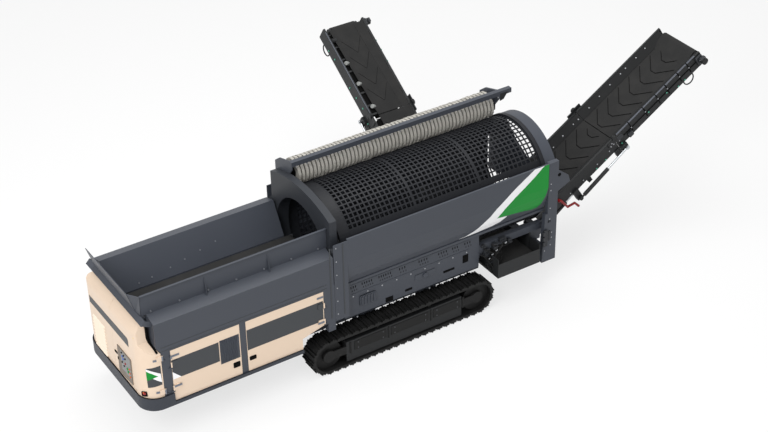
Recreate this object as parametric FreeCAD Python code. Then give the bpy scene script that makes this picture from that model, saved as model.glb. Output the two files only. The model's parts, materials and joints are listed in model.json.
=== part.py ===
"""Trommel screen on crawler tracks.

A hopper with a belt feeder at the front end, over the engine bay, a screening
drum behind it with a round brush, and two belt conveyors: one out of the far
side for the fines and one out of the rear for the oversize.

Millimetres. X runs from the engine end to the rear, the near side is -Y, and
the ground is at Z 0. Sizes are given in the machine's own frame, which has X 0
at the bumper and Y 0 on the centreline. SHIFT_X and SHIFT_Y put the origin
under the middle of the whole outline.
"""
import FreeCAD, Part
import os
from math import atan2, cos, degrees, hypot, pi, radians, sin

V = FreeCAD.Vector

# origin: middle of the outline on the ground
SHIFT_X = -6730.0
SHIFT_Y = -2000.0

# running clearances
PIN_GAP = 0.05
SEAT_GAP = 0.3
RUN_GAP = 6.0

# sheet metal
SHEET = 12.0
PLATE = 20.0

# base pan and bumper
BODY_HALF = 1250.0
PAN_HALF = BODY_HALF + 35.0
PAN_Z = 776.0
PAN_CORNER = 370.0
PAN_END_X = 3290.0
BUMPER_TOP_Z = 1040.0
BUMPER_END_X = 590.0
SKIRT_TOP_Z = 845.0

# front cover, in two halves
HOOD_X = 30.0
HOOD_END_X = 405.0
HOOD_CORNER = 350.0
HOOD_TOP_Z = 2610.0
HOOD_TOP_HALF = BODY_HALF - 190.0
HOOD_SHOULDER_Z = 2010.0
HOOD_NECK_Z = 2210.0
HOOD_ROUND = 330.0
HOOD_UPPER_END_X = 265.0
HOOD_WALL = 30.0
HOOD_PIN_X = 425.0
PIN_OUT = 16.0
HINGE_R = 14.0
HINGE_PIN_R = 7.0
KNUCKLE_HEIGHT = 26.0

# side posts and doors
POST_X0 = 410.0
POST_X1 = 589.0
MID_POST_X0 = 1994.0
MID_POST_X1 = 2117.0
REAR_JAMB_X0 = 3777.0
POST_DEPTH = 120.0
DOOR_THICK = 38.0
DOOR_GAP = 5.0
DOOR_Z0 = 850.0
DOOR_Z1 = 1990.0
DOOR_RAIL_Z1 = 2050.0
DOOR_NOTCH_Z = 1090.0
DOOR_HINGE_UP = 250.0
DOOR_HINGE_LENGTH = 110.0

# engine
ENGINE_X0 = 700.0
ENGINE_LENGTH = 1180.0
ENGINE_HALF = BODY_HALF - 820.0
ENGINE_HEIGHT = 830.0

# hopper and feeder
HOPPER_X0 = 330.0
HOPPER_X1 = 4010.0
HOPPER_SKIN_Z0 = DOOR_RAIL_Z1
HOPPER_RIM_Z = 2664.0
CREASE_HALF = BODY_HALF - 275.0
CREASE_Z = 2750.0
BELT_HALF = BODY_HALF - 650.0
FEED_Z = 2100.0
BOARD_TOP_Z = 3165.0
BOARD_HALF = CREASE_HALF - 17.0
BOARD_X0 = 240.0
BOARD_X1 = 4040.0
FRONT_RIM_X = 135.0
FRONT_CREASE_X = 215.0
FRONT_BOARD_TOP_X = 90.0
FRONT_BOARD_HALF = BODY_HALF - 450.0
FRONT_FOOT_X = 600.0
BOARD_RIB_X = (1500.0, 2790.0)
RIB_DEPTH = 90.0
FEED_X0 = 560.0
FEED_X1 = 4200.0
FEED_ROLL_R = 110.0
FEED_PLATE_DROP = 245.0
BELT_THICK = 14.0

# trommel module
POST_A_X0 = 3860.0
POST_A_X1 = 4020.0
MODULE_X0 = 4025.0
MODULE_X1 = 4327.0
MODULE_Z0 = 1200.0
MODULE_TOP_Z = 2930.0
SIDE_X1 = 9000.0
SIDE_TOP_Z = 2957.0
SIDE_CREASE_Z = 2420.0
SIDE_FOOT_HALF = BODY_HALF - 145.0
SIDE_FOOT_Z = 1862.0
SILL_HALF = BODY_HALF - 175.0
SILL_Z0 = 1010.0
SILL_X1 = 7450.0
END_POST_DEPTH = 100.0
END_POST_X1 = 9240.0
END_POST_FOOT_X0 = 8900.0
END_POST_KNEE_Z = 1780.0
END_POST_Z0 = 620.0
RAIL_Z0 = 1340.0
RAIL_Z1 = 1500.0
RAIL_WIDTH = 110.0

# drum size, which the arch, the rollers and the brush follow
DRUM_R = BODY_HALF - 150.0

# inlet arch
ARCH_X0 = 4050.0
ARCH_X1 = 4200.0
ARCH_TOP_HALF = BODY_HALF - 150.0
ARCH_SPRING_Z = 3337.0
ARCH_R = 2950.0
ARCH_STEP_Z = 2670.0
ARCH_STEP_RISE = 90.0
INLET_R = DRUM_R - 144.0

# drum
DRUM_Z = 2237.0
DRUM_X0 = 4350.0
DRUM_X1 = 9100.0
DRUM_WALL = 16.0
END_RING_WIDTH = 230.0
END_RING_WALL = 34.0
REAR_RING_R = DRUM_R + 35.0
REAR_RING_WIDTH = 90.0
DRUM_ROLLER_R = 90.0
DRUM_ROLLER_WIDTH = 100.0
DRUM_ROLLER_ANGLE = 40.0
DRUM_ROLLER_X = (4400.0, 8840.0)
WINDOWS_ALONG = 10
WINDOWS_ROUND = 12
WINDOW_SHARE = 0.72

# outlet arch
OUTLET_X0 = 9112.0
OUTLET_X1 = 9356.0
OUTLET_R = DRUM_R + 20.0
OUTLET_WALL = 30.0
OUTLET_FOOT_Z = 2450.0

# brush over the drum
BRUSH_R = 278.0
BRUSH_ANGLE = 35.3
BRUSH_GAP = 6.5
BRUSH_SHAFT_R = 30.0
BRUSH_X0 = 4360.0
BRUSH_X1 = 8960.0
BRUSH_BEAM_IN = 250.0
BRUSH_BEAM_RISE = 343.0
BRUSH_REACH_DOWN = 267.0
BRUSH_FOOT_RISE = 243.0
BRUSH_BEAM_X1 = 9330.0

# chassis
BEAM_Y0 = BODY_HALF - 510.0
BEAM_Y1 = BEAM_Y0 + 120.0
BEAM_HEIGHT = 200.0
BEAM_X0 = 330.0
BEAM_X1 = 7600.0
CROSS_X = (760.0, 1660.0, 3900.0, 5400.0, 7200.0)
CROSS_WIDTH = 120.0
CROSS_RISE = 30.0
CROSS_HEIGHT = 112.0
FINES_X0 = 4150.0
FINES_X1 = 7800.0
FINES_HALF = BODY_HALF - 690.0
FINES_ROLL_R = 55.0
FINES_Z = 1095.0
FINES_PLATE_GAP = 6.0

# crawler tracks
TRACK_OUT = BODY_HALF + 20.0
TRACK_WIDTH = 400.0
TRACK_X0 = 3855.0
TRACK_TO_BED = 395.0
TRACK_R = 400.0
GROUSER = 24.0
SHOE_THICK = 26.0
LINK_THICK = 40.0
SHOES = 54
SHOE_SHARE = 0.80
GROUSER_SHARE = 0.16
TRACK_FRAME_SHORT = 385.0
TRACK_FRAME_Z0 = 262.0
TRACK_FRAME_Z1 = 585.0
TRACK_SKIRT_Z0 = 118.0
TRACK_FRAME_INSET = 35.0
TRACK_FRAME_STEP = 50.0
WHEEL_INSET = 100.0
ROLLER_R = 70.0
ROLLERS = 7
TOP_ROLLER_R = 44.0
TOP_ROLLER_SHARES = (0.331, 0.679)
SADDLE_SHARES = (0.203, 0.843)
SADDLE_LENGTH = 420.0
SADDLE_Z0 = 330.0
SADDLE_Z1 = 560.0

# oversize conveyor, at the rear
TAIL_X = 9450.0
TAIL_Z = 1424.0
TAIL_ANGLE = 32.0
TAIL_HALF = BODY_HALF - 600.0
TAIL_LENGTH = 4500.0
TAIL_BACK = 290.0
TAIL_FOLD = 2000.0
TAIL_PIN_DROP = 150.0

# fines conveyor, out of the far side
SIDE_X = 8220.0
SIDE_Y = BODY_HALF + 200.0
SIDE_Z = 980.0
SIDE_ANGLE = 33.6
SIDE_HALF = 515.0
SIDE_LENGTH = 4490.0
SIDE_FOLD = 2250.0
SIDE_PIN_DROP = 120.0
BED_Y0 = -BODY_HALF - 140.0
BED_Y1 = BODY_HALF - 25.0
BED_Z0 = 790.0
BED_MIDDLE_Z = 1090.0
BED_LOW_Z = 976.0
BED_ROLL_R = 75.0
BED_BELT_HALF = 460.0
HANGER_WIDTH = 40.0
BED_END_Z = 1240.0
BED_END_HALF = BODY_HALF - 450.0

# both conveyors
CONV_BEAM = 46.0
CONV_BEAM_UP = 50.0
CONV_BEAM_DOWN = 270.0
CONV_ROLL_R = 105.0
WING_RISE = 95.0
WING_WIDTH = 170.0
FOLD_UP = 75.0
FOLD_SLOT = 16.0
PIN_R = 30.0
LUG_R = 62.0
LUG_THICK = 24.0
MOTOR_R = 75.0
MOTOR_LENGTH = 170.0

# recovery eye under the rear cross member
EYE_X = 9060.0
EYE_Z = 560.0
EYE_HALF = 15.0
EYE_BORE_R = 25.0

# hydraulic cylinders
BARREL_R = 42.0
ROD_R = 24.0
EYE_R = 46.0
EYE_THICK = 50.0
EYE_GAP = 6.0
EYE_PIN_R = 25.0
BARREL_SHARE = 0.58
HOSE_R = 14.0
BORE_START = 120.0
NECK_LENGTH = 92.0
ROD_START = 170.0
FOLD_EYE_S = -1300.0
FOLD_EYE_H = -450.0
FOLD_ROD_S = 125.0
FOLD_ROD_H = -360.0
FOLD_EYE_OUT = 80.0
REAR_LIFT_X = 9290.0
REAR_LIFT_Z = 760.0
REAR_LIFT_S = 1100.0
REAR_LIFT_H = -340.0
REAR_LIFT_W = TAIL_HALF - 101.0
SIDE_LIFT_Y = SIDE_Y - 1100.0
SIDE_LIFT_Z = 700.0
SIDE_LIFT_S = -50.0
SIDE_LIFT_H = -450.0
SIDE_LIFT_W = 400.0


# places that follow from the sizes above
BRUSH_REACH = DRUM_R + BRUSH_GAP + BRUSH_R
BRUSH_Y = BRUSH_REACH * sin(radians(BRUSH_ANGLE))
BRUSH_Z = DRUM_Z + BRUSH_REACH * cos(radians(BRUSH_ANGLE))
BRUSH_BEAM_Y = BRUSH_Y - BRUSH_BEAM_IN
BRUSH_BEAM_Z = BRUSH_Z + BRUSH_BEAM_RISE
TRACK_IN = TRACK_OUT - TRACK_WIDTH
TRACK_X1 = SIDE_X - SIDE_HALF - TRACK_TO_BED
TRACK_FRAME_X0 = TRACK_X0 + TRACK_FRAME_SHORT
TRACK_FRAME_X1 = TRACK_X1 - TRACK_FRAME_SHORT
TRACK_FRAME_OUT = TRACK_OUT - TRACK_FRAME_INSET
TRACK_FRAME_IN = TRACK_IN + TRACK_FRAME_STEP
BEAM_Z0 = PAN_Z + SHEET
BEAM_Z1 = BEAM_Z0 + BEAM_HEIGHT
CROSS_Z0 = BEAM_Z0 + CROSS_RISE
CROSS_Z1 = CROSS_Z0 + CROSS_HEIGHT
ARCH_HALF = BODY_HALF - SHEET
RAIL_OUT = SILL_HALF - SHEET
RAIL_IN = RAIL_OUT - RAIL_WIDTH
END_POST_X0 = SIDE_X1 + RUN_GAP
END_POST_IN = BODY_HALF - END_POST_DEPTH
FRONT_DOOR_PIN_X = POST_X1 + DOOR_GAP / 2
REAR_DOOR_PIN_X = REAR_JAMB_X0 - DOOR_GAP / 2


def box(x0, x1, y0, y1, z0, z1):
    """A block between two corners."""
    return Part.makeBox(x1 - x0, y1 - y0, z1 - z0, V(x0, y0, z0))


def rod(radius, start, end):
    """A round bar between two points."""
    run = V(*end) - V(*start)
    return Part.makeCylinder(radius, run.Length, V(*start), run)


def along_x(points, x0, x1):
    """A prism along X over a closed outline of (y, z) points."""
    ring = [V(x0, y, z) for y, z in points]
    face = Part.Face(Part.makePolygon(ring + ring[:1]))
    return face.extrude(V(x1 - x0, 0, 0))


def along_y(points, y0, y1):
    """A prism along Y over a closed outline of (x, z) points."""
    ring = [V(x, y0, z) for x, z in points]
    face = Part.Face(Part.makePolygon(ring + ring[:1]))
    return face.extrude(V(0, y1 - y0, 0))


def along_z(points, z0, z1):
    """A prism along Z over a closed outline of (x, y) points."""
    ring = [V(x, y, z0) for x, y in points]
    face = Part.Face(Part.makePolygon(ring + ring[:1]))
    return face.extrude(V(0, 0, z1 - z0))


def band(points, thick):
    """Closed outline of a strip: the line and its copy moved to its left."""
    normals = []
    for (a, b), (c, d) in zip(points, points[1:]):
        size = hypot(c - a, d - b)
        normals.append((-(d - b) / size, (c - a) / size))
    moved = []
    for i, (a, b) in enumerate(points):
        n0 = normals[max(i - 1, 0)]
        n1 = normals[min(i, len(normals) - 1)]
        share = thick / (1.0 + n0[0] * n1[0] + n0[1] * n1[1])
        moved.append((a + (n0[0] + n1[0]) * share, b + (n0[1] + n1[1]) * share))
    return list(points) + moved[::-1]


def fuse(*shapes):
    """One solid out of several, with the seams between flush faces removed."""
    whole = shapes[0].multiFuse(list(shapes[1:])) if len(shapes) > 1 else shapes[0]
    return whole.removeSplitter()


def mirrored(shape):
    """The same piece on the other side of the centreline."""
    return shape.mirror(V(0, 0, 0), V(0, 1, 0))


def save(name, shape):
    """Write one sub-part, with the origin moved to its place."""
    placed = shape.copy()
    placed.translate(V(SHIFT_X, SHIFT_Y, 0))
    if placed.ShapeType == "Compound" and len(placed.Solids) == 1:
        placed = placed.Solids[0]
    placed.exportStep(os.path.join("parts", name + ".step"))


def save_pair(name, near):
    """Write a near piece and its mirror image on the far side."""
    save(name + "_near", near)
    save(name + "_far", mirrored(near))


def save_both(name, near):
    """Write a near piece and its mirror image as two solids of one node."""
    save(name, Part.makeCompound(near.Solids + mirrored(near).Solids))


def plan_outline(x0, x1, half, corner):
    """Plan of the machine's front: a rectangle with two round front corners."""
    cut = corner * (1.0 - cos(pi / 4))
    edges = [
        Part.LineSegment(V(x1, half, 0), V(x0 + corner, half, 0)).toShape(),
        Part.Arc(V(x0 + corner, half, 0), V(x0 + cut, half - cut, 0),
                 V(x0, half - corner, 0)).toShape(),
        Part.LineSegment(V(x0, half - corner, 0), V(x0, corner - half, 0)).toShape(),
        Part.Arc(V(x0, corner - half, 0), V(x0 + cut, cut - half, 0),
                 V(x0 + corner, -half, 0)).toShape(),
        Part.LineSegment(V(x0 + corner, -half, 0), V(x1, -half, 0)).toShape(),
        Part.LineSegment(V(x1, -half, 0), V(x1, half, 0)).toShape(),
    ]
    return Part.Face(Part.Wire(edges))


def plan_prism(x0, x1, half, corner, z0, z1):
    """Prism over the front's plan between two heights."""
    face = plan_outline(x0, x1, half, corner)
    face.translate(V(0, 0, z0))
    return face.extrude(V(0, 0, z1 - z0))


def make_base():
    """Floor pan with the bumper round the front and a low skirt at the sides."""
    floor = plan_prism(0, PAN_END_X, PAN_HALF, PAN_CORNER, PAN_Z, PAN_Z + SHEET)
    bumper = plan_prism(0, BUMPER_END_X, PAN_HALF, PAN_CORNER, PAN_Z, BUMPER_TOP_Z)
    inner = plan_prism(SHEET, BUMPER_END_X + SHEET, PAN_HALF - SHEET,
                       PAN_CORNER - SHEET, PAN_Z, BUMPER_TOP_Z + SHEET)
    skirts = [box(BUMPER_END_X - SHEET, PAN_END_X, y, y + SHEET, PAN_Z, SKIRT_TOP_Z)
              for y in (-PAN_HALF, PAN_HALF - SHEET)]
    save("base_pan", fuse(floor, bumper.cut(inner), *skirts))


def hood_solid(inset):
    """Outer form of the front cover, made smaller all round by inset."""
    x0, x1 = HOOD_X + inset, HOOD_END_X + inset
    half = BODY_HALF - inset
    top_half = HOOD_TOP_HALF - inset
    top = HOOD_TOP_Z - inset
    plan = plan_prism(x0, x1, half, HOOD_CORNER - inset, BUMPER_TOP_Z - inset, top)
    front = along_x([(-half, 0), (half, 0), (half, HOOD_SHOULDER_Z),
                     (top_half, HOOD_NECK_Z), (top_half - 20, top - 90), (top_half - 110, top),
                     (110 - top_half, top), (20 - top_half, top - 90), (-top_half, HOOD_NECK_Z),
                     (-half, HOOD_SHOULDER_Z)], x0, x1)
    radius = HOOD_ROUND - inset
    upper_end = HOOD_UPPER_END_X + inset
    cut = radius * (1.0 - cos(pi / 4))
    edges = [
        Part.LineSegment(V(x0, -half, 0), V(x0, -half, top - radius)).toShape(),
        Part.Arc(V(x0, -half, top - radius), V(x0 + cut * 0.75, -half, top - cut),
                 V(x0 + radius * 0.7, -half, top)).toShape(),
        Part.LineSegment(V(x0 + radius * 0.7, -half, top), V(upper_end, -half, top)).toShape(),
        Part.LineSegment(V(upper_end, -half, top), V(upper_end, -half, HOOD_NECK_Z)).toShape(),
        Part.LineSegment(V(upper_end, -half, HOOD_NECK_Z), V(x1, -half, HOOD_SHOULDER_Z)).toShape(),
        Part.LineSegment(V(x1, -half, HOOD_SHOULDER_Z), V(x1, -half, 0)).toShape(),
        Part.LineSegment(V(x1, -half, 0), V(x0, -half, 0)).toShape(),
    ]
    side = Part.Face(Part.Wire(edges)).extrude(V(0, 2 * half, 0))
    return plan.common(front).common(side)


def hinge_barrel(x, z):
    """Upright hinge barrel of a door or of the front cover, with its strap's height."""
    return Part.makeCylinder(HINGE_R, DOOR_HINGE_LENGTH, V(x, -BODY_HALF - PIN_OUT, z))


def pin_bore(x):
    """What is cut out of every barrel on one upright axis."""
    return Part.makeCylinder(HINGE_PIN_R + PIN_GAP, 2 * DOOR_Z1, V(x, -BODY_HALF - PIN_OUT, 0))


def knuckle(x, z, post_x):
    """Fixed knuckle under a barrel, its strap on the post, and the pin up through both."""
    low = z - KNUCKLE_HEIGHT - 1
    y0 = -BODY_HALF - PIN_OUT
    strap_x = sorted((x, post_x))
    return fuse(Part.makeCylinder(HINGE_R, KNUCKLE_HEIGHT, V(x, y0, low)),
                box(*strap_x, y0, -BODY_HALF + 1, low, low + KNUCKLE_HEIGHT),
                Part.makeCylinder(HINGE_PIN_R, DOOR_HINGE_LENGTH + KNUCKLE_HEIGHT + 11, V(x, y0, low)))


def hood_hinge_heights():
    """Lower ends of the front cover's hinge barrels."""
    return BUMPER_TOP_Z + 60, HOOD_SHOULDER_Z - 160


def door_hinge_heights(notch_z=None):
    """Lower ends of a door's hinge barrels."""
    low = DOOR_Z0 + DOOR_HINGE_UP if notch_z is None else notch_z + 170
    return low, DOOR_Z1 - DOOR_HINGE_UP - DOOR_HINGE_LENGTH


def make_hood():
    """Front cover over the engine bay, two halves that meet at the middle."""
    shell = hood_solid(0).cut(hood_solid(HOOD_WALL))
    near_half = box(HOOD_X - 100, HOOD_END_X + 100, -2 * BODY_HALF, -DOOR_GAP / 2, 0, 2 * HOOD_TOP_Z)
    near = shell.common(near_half)
    barrels = []
    for z in hood_hinge_heights():
        strap = box(HOOD_END_X - 90, HOOD_PIN_X, -BODY_HALF - PIN_OUT, -BODY_HALF,
                    z, z + DOOR_HINGE_LENGTH)
        barrels += [strap, hinge_barrel(HOOD_PIN_X, z)]
    save_pair("hood", fuse(near, *barrels).cut(pin_bore(HOOD_PIN_X)))


def make_door_frames():
    """Posts and rails round the two doors of each side."""
    y0, y1 = -BODY_HALF, -BODY_HALF + POST_DEPTH
    posts = [(POST_X0, POST_X1), (MID_POST_X0, MID_POST_X1), (REAR_JAMB_X0, POST_A_X0)]
    parts = [box(a, b, y0, y1, PAN_Z + SHEET, DOOR_RAIL_Z1) for a, b in posts[:2]]
    parts.append(box(*posts[2], y0, y1, BEAM_Z1 + 220, DOOR_RAIL_Z1))
    parts.append(box(POST_X0, POST_A_X0, y0, y1, DOOR_Z1 + DOOR_GAP, DOOR_RAIL_Z1))
    parts.append(box(POST_X0, PAN_END_X, y0, y1, PAN_Z + SHEET, DOOR_Z0 - DOOR_GAP))
    parts += [knuckle(HOOD_PIN_X, z, HOOD_PIN_X + 50) for z in hood_hinge_heights()]
    parts += [knuckle(FRONT_DOOR_PIN_X, z, POST_X1 - 50) for z in door_hinge_heights()]
    parts += [knuckle(REAR_DOOR_PIN_X, z, REAR_JAMB_X0 + 50) for z in door_hinge_heights(DOOR_NOTCH_Z)]
    save_both("door_frames", fuse(*parts))


def door(x0, x1, pin_x, cut_corner):
    """A flat door with its hinge barrels; the pin stands just outside its edge."""
    y0 = -BODY_HALF
    outline = [(x0, DOOR_Z0), (x1, DOOR_Z0), (x1, DOOR_Z1), (x0, DOOR_Z1)]
    if cut_corner:
        notch_x, notch_z = cut_corner
        outline = [(x0, DOOR_Z0), (notch_x, DOOR_Z0), (notch_x, notch_z), (x1, notch_z + 130),
                   (x1, DOOR_Z1), (x0, DOOR_Z1)]
    panel = along_y(outline, y0, y0 + DOOR_THICK)
    parts = [panel]
    towards = 1 if pin_x < (x0 + x1) / 2 else -1
    for z in door_hinge_heights(cut_corner[1] if cut_corner else None):
        strap_x = sorted((pin_x, pin_x + towards * 130))
        parts.append(box(*strap_x, y0 - PIN_OUT, y0, z, z + DOOR_HINGE_LENGTH))
        parts.append(hinge_barrel(pin_x, z))
    return fuse(*parts).cut(pin_bore(pin_x))


def make_doors():
    """Front door hinged at the corner post, rear door at the rear jamb."""
    front = door(POST_X1 + DOOR_GAP, MID_POST_X0 - DOOR_GAP, FRONT_DOOR_PIN_X, None)
    rear = door(MID_POST_X1 + DOOR_GAP, REAR_JAMB_X0 - DOOR_GAP, REAR_DOOR_PIN_X,
                (PAN_END_X, DOOR_NOTCH_Z))
    save_pair("front_door", front)
    save_pair("rear_door", rear)


def make_engine():
    """Engine, as one plain block on the chassis."""
    save("engine_block", box(ENGINE_X0, ENGINE_X0 + ENGINE_LENGTH, -ENGINE_HALF, ENGINE_HALF,
                             CROSS_Z1, CROSS_Z1 + ENGINE_HEIGHT))


def make_hopper():
    """Two double-skinned side walls, the front wall and the raised boards."""
    wedge = along_x([(-BODY_HALF, HOPPER_SKIN_Z0), (-BELT_HALF - 20, HOPPER_SKIN_Z0),
                     (-BELT_HALF - 20, FEED_Z + 15), (-CREASE_HALF, CREASE_Z),
                     (-BODY_HALF, HOPPER_RIM_Z)], HOPPER_X0, HOPPER_X1)
    nose = [(HOPPER_X0 - 30, HOPPER_SKIN_Z0 - 10), (HOPPER_X0 + 65, HOPPER_SKIN_Z0 - 10),
            (HOPPER_X0 + 65, HOPPER_SKIN_Z0), (HOPPER_X0, HOPPER_SKIN_Z0 + 93),
            (HOPPER_X0 - 30, HOPPER_SKIN_Z0 + 93)]
    wedge = wedge.cut(along_y(nose, -BODY_HALF - 5, BODY_HALF))
    board = along_x(band([(-BOARD_HALF, BOARD_TOP_Z), (-CREASE_HALF, CREASE_Z - 4)], -SHEET),
                    BOARD_X0, BOARD_X1)
    lip = box(BOARD_X0, BOARD_X1, -BOARD_HALF - 45, -BOARD_HALF, BOARD_TOP_Z - SHEET, BOARD_TOP_Z)
    ribs = [along_x([(-BOARD_HALF - 6, BOARD_TOP_Z - 30), (-CREASE_HALF - 6, CREASE_Z - 10),
                     (-CREASE_HALF - RIB_DEPTH, CREASE_Z - 30)], x, x + SHEET)
            for x in BOARD_RIB_X]
    save("hopper_wall_near", fuse(wedge, board, lip, *ribs))
    save("hopper_wall_far", mirrored(wedge))

    slope = along_y(band([(FRONT_FOOT_X, FEED_Z + 15), (FRONT_CREASE_X, CREASE_Z)], SHEET),
                    -BELT_HALF, BELT_HALF)
    slope_side = along_y(band([(HOPPER_X0, CREASE_Z - 178), (FRONT_CREASE_X, CREASE_Z)],
                              SHEET), -CREASE_HALF, CREASE_HALF)
    cheek = [(HOPPER_X0, HOPPER_RIM_Z - 90), (HOPPER_X0, HOPPER_RIM_Z + 26),
             (FRONT_CREASE_X, CREASE_Z - 2), (FRONT_RIM_X + 5, HOPPER_RIM_Z + 4)]
    cheeks = [along_y(cheek, y, y + SHEET) for y in (90 - BODY_HALF, BODY_HALF - 90 - SHEET)]
    rim = along_y(band([(FRONT_CREASE_X + 4, CREASE_Z), (FRONT_RIM_X, HOPPER_RIM_Z)], SHEET),
                  -BODY_HALF + 90, BODY_HALF - 90)
    front = along_y(band([(FRONT_CREASE_X + 6, CREASE_Z - 4), (FRONT_BOARD_TOP_X, BOARD_TOP_Z)],
                         SHEET), -FRONT_BOARD_HALF, FRONT_BOARD_HALF + 130)
    corner = corner_board()
    save("hopper_front", fuse(slope, slope_side, rim, front, corner, *cheeks))


def corner_board():
    """Raised plate across the near front corner, between the two boards."""
    low = [V(FRONT_CREASE_X, -FRONT_BOARD_HALF, CREASE_Z - 4),
           V(BOARD_X0 - SHEET - 1, -CREASE_HALF, CREASE_Z - 4)]
    high = [V(BOARD_X0 - SHEET - 1, -BOARD_HALF - 40, BOARD_TOP_Z),
            V(FRONT_BOARD_TOP_X, -FRONT_BOARD_HALF, BOARD_TOP_Z)]
    face_a = Part.Face(Part.makePolygon([low[0], low[1], high[0], low[0]]))
    face_b = Part.Face(Part.makePolygon([low[0], high[0], high[1], low[0]]))
    step = V(SHEET, SHEET * 0.5, 0)
    return fuse(face_a.extrude(step), face_b.extrude(step))


def belt_loop(x0, x1, half, z_top, radius):
    """Flat belt round two rollers, with its top run at z_top."""
    z0, z1 = z_top - 2 * radius, z_top
    zc = (z0 + z1) / 2

    def racetrack(r, width):
        middle = box(x0, x1, -width, width, zc - r, zc + r)
        ends = [rod(r, (x, -width, zc), (x, width, zc)) for x in (x0, x1)]
        return fuse(middle, *ends)

    return racetrack(radius, half).cut(racetrack(radius - BELT_THICK, half + 50))


def make_feeder():
    """Feeder belt in the bottom of the hopper, with its rollers, bed and side plates."""
    x0, x1 = FEED_X0 + FEED_ROLL_R, FEED_X1 - FEED_ROLL_R
    save("feeder_belt", belt_loop(x0, x1, BELT_HALF, FEED_Z, FEED_ROLL_R))
    zc = FEED_Z - FEED_ROLL_R
    r = FEED_ROLL_R - BELT_THICK - SEAT_GAP
    inner = BELT_HALF + RUN_GAP
    solids = []
    for x in (x0, x1):
        drum = rod(r, (x, -BELT_HALF, zc), (x, BELT_HALF, zc))
        shaft = rod(30, (x, -inner, zc), (x, inner, zc))
        solids.append(fuse(drum, shaft))
    bed_x0, bed_x1 = x0 + FEED_ROLL_R + 60, x1 - FEED_ROLL_R - 60
    solids.append(box(bed_x0, bed_x1, -inner, inner, FEED_Z - BELT_THICK - 60,
                      FEED_Z - BELT_THICK - SEAT_GAP))
    for y in (-BELT_HALF - 20, inner):
        solids.append(box(FEED_X0 + 40, FEED_X1, y, y + 20 - RUN_GAP,
                          FEED_Z - FEED_PLATE_DROP, FEED_Z - 15))
    save("feeder_frame", Part.makeCompound(solids))


def make_chassis():
    """Two long beams, the members across them and the saddles down to the tracks."""
    parts = []
    for side in (-1, 1):
        y0, y1 = sorted((side * BEAM_Y0, side * BEAM_Y1))
        parts.append(box(BEAM_X0, BEAM_X1, y0, y1, BEAM_Z0, BEAM_Z1))
        a0, a1 = sorted((side * TRACK_FRAME_IN, side * BEAM_Y0))
        for share in SADDLE_SHARES:
            x = TRACK_FRAME_X0 + share * (TRACK_FRAME_X1 - TRACK_FRAME_X0 - SADDLE_LENGTH)
            parts.append(box(x, x + SADDLE_LENGTH, a0, a1, SADDLE_Z0, SADDLE_Z1))
            parts.append(box(x, x + SADDLE_LENGTH, y0, y1, SADDLE_Z0, BEAM_Z0))
    parts += [box(x, x + CROSS_WIDTH, -BEAM_Y0, BEAM_Y0, CROSS_Z0, CROSS_Z1) for x in CROSS_X]
    save("chassis_frame", fuse(*parts))

    rail = box(POST_A_X0, END_POST_X0, -RAIL_OUT, -RAIL_IN, RAIL_Z0, RAIL_Z1)
    slope = [(-BEAM_Y1, BEAM_Z1), (-BEAM_Y0, BEAM_Z1), (-BEAM_Y0, BEAM_Z1 + 60),
             (-RAIL_IN, RAIL_Z0 + 20), (-RAIL_OUT, RAIL_Z0 + 20), (-RAIL_OUT, RAIL_Z0 - 20)]
    legs = [along_x(slope, x, x + 140) for x in (POST_A_X0 + 40, (POST_A_X0 + BEAM_X1) / 2 - 130, BEAM_X1 - 160)]
    blocks = []
    wheel_y, wheel_z = drum_roller_place()
    for x in (DRUM_ROLLER_X[0] - 60, DRUM_ROLLER_X[1] + DRUM_ROLLER_WIDTH + 20):
        block = box(x, x + 40, -RAIL_IN, -wheel_y + 45, wheel_z - 50, RAIL_Z0 + 30)
        blocks.append(block.cut(rod(BRUSH_SHAFT_R + PIN_GAP, (x - 5, -wheel_y, wheel_z),
                                    (x + 45, -wheel_y, wheel_z))))
    save_both("module_rails", fuse(rail, *legs, *blocks))


def drum_roller_place():
    """Y on the far side and Z of the rollers that carry the drum."""
    reach = DRUM_R + SEAT_GAP + DRUM_ROLLER_R
    a = radians(DRUM_ROLLER_ANGLE)
    return reach * sin(a), DRUM_Z - reach * cos(a)


def make_drum_rollers():
    """A shaft with two wheels under each side of the drum."""
    y, z = drum_roller_place()
    x0, x1 = DRUM_ROLLER_X[0] - 65, DRUM_ROLLER_X[1] + DRUM_ROLLER_WIDTH + 65
    shaft = rod(BRUSH_SHAFT_R, (x0, -y, z), (x1, -y, z))
    wheels = [rod(DRUM_ROLLER_R, (x, -y, z), (x + DRUM_ROLLER_WIDTH, -y, z)) for x in DRUM_ROLLER_X]
    save_pair("drum_roller", fuse(shaft, *wheels))


def make_trommel_sides():
    """Side plates of the trommel: upright, then drawn in down to the sill."""
    line = [(-BODY_HALF, SIDE_TOP_Z), (-BODY_HALF, SIDE_CREASE_Z),
            (-BODY_HALF + 18, SIDE_CREASE_Z - 190), (-BODY_HALF + 60, SIDE_CREASE_Z - 380),
            (-SIDE_FOOT_HALF - 13, SIDE_FOOT_Z + 18), (-SIDE_FOOT_HALF, SIDE_FOOT_Z),
            (-SIDE_FOOT_HALF - 22, SIDE_FOOT_Z - 10), (-SIDE_FOOT_HALF - 22, SIDE_FOOT_Z - 62),
            (-SILL_HALF, SIDE_FOOT_Z - 72)]
    upper = along_x(band(line, SHEET), MODULE_X1, SIDE_X1)
    sill = along_x(band([(-SILL_HALF, SIDE_FOOT_Z - 62), (-SILL_HALF, SILL_Z0)], SHEET),
                   MODULE_X1, SILL_X1)
    lip = box(MODULE_X1, SIDE_X1, -BODY_HALF, -BODY_HALF + 40, SIDE_TOP_Z - SHEET, SIDE_TOP_Z)
    save_pair("trommel_side", fuse(upper, sill, lip))


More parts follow.
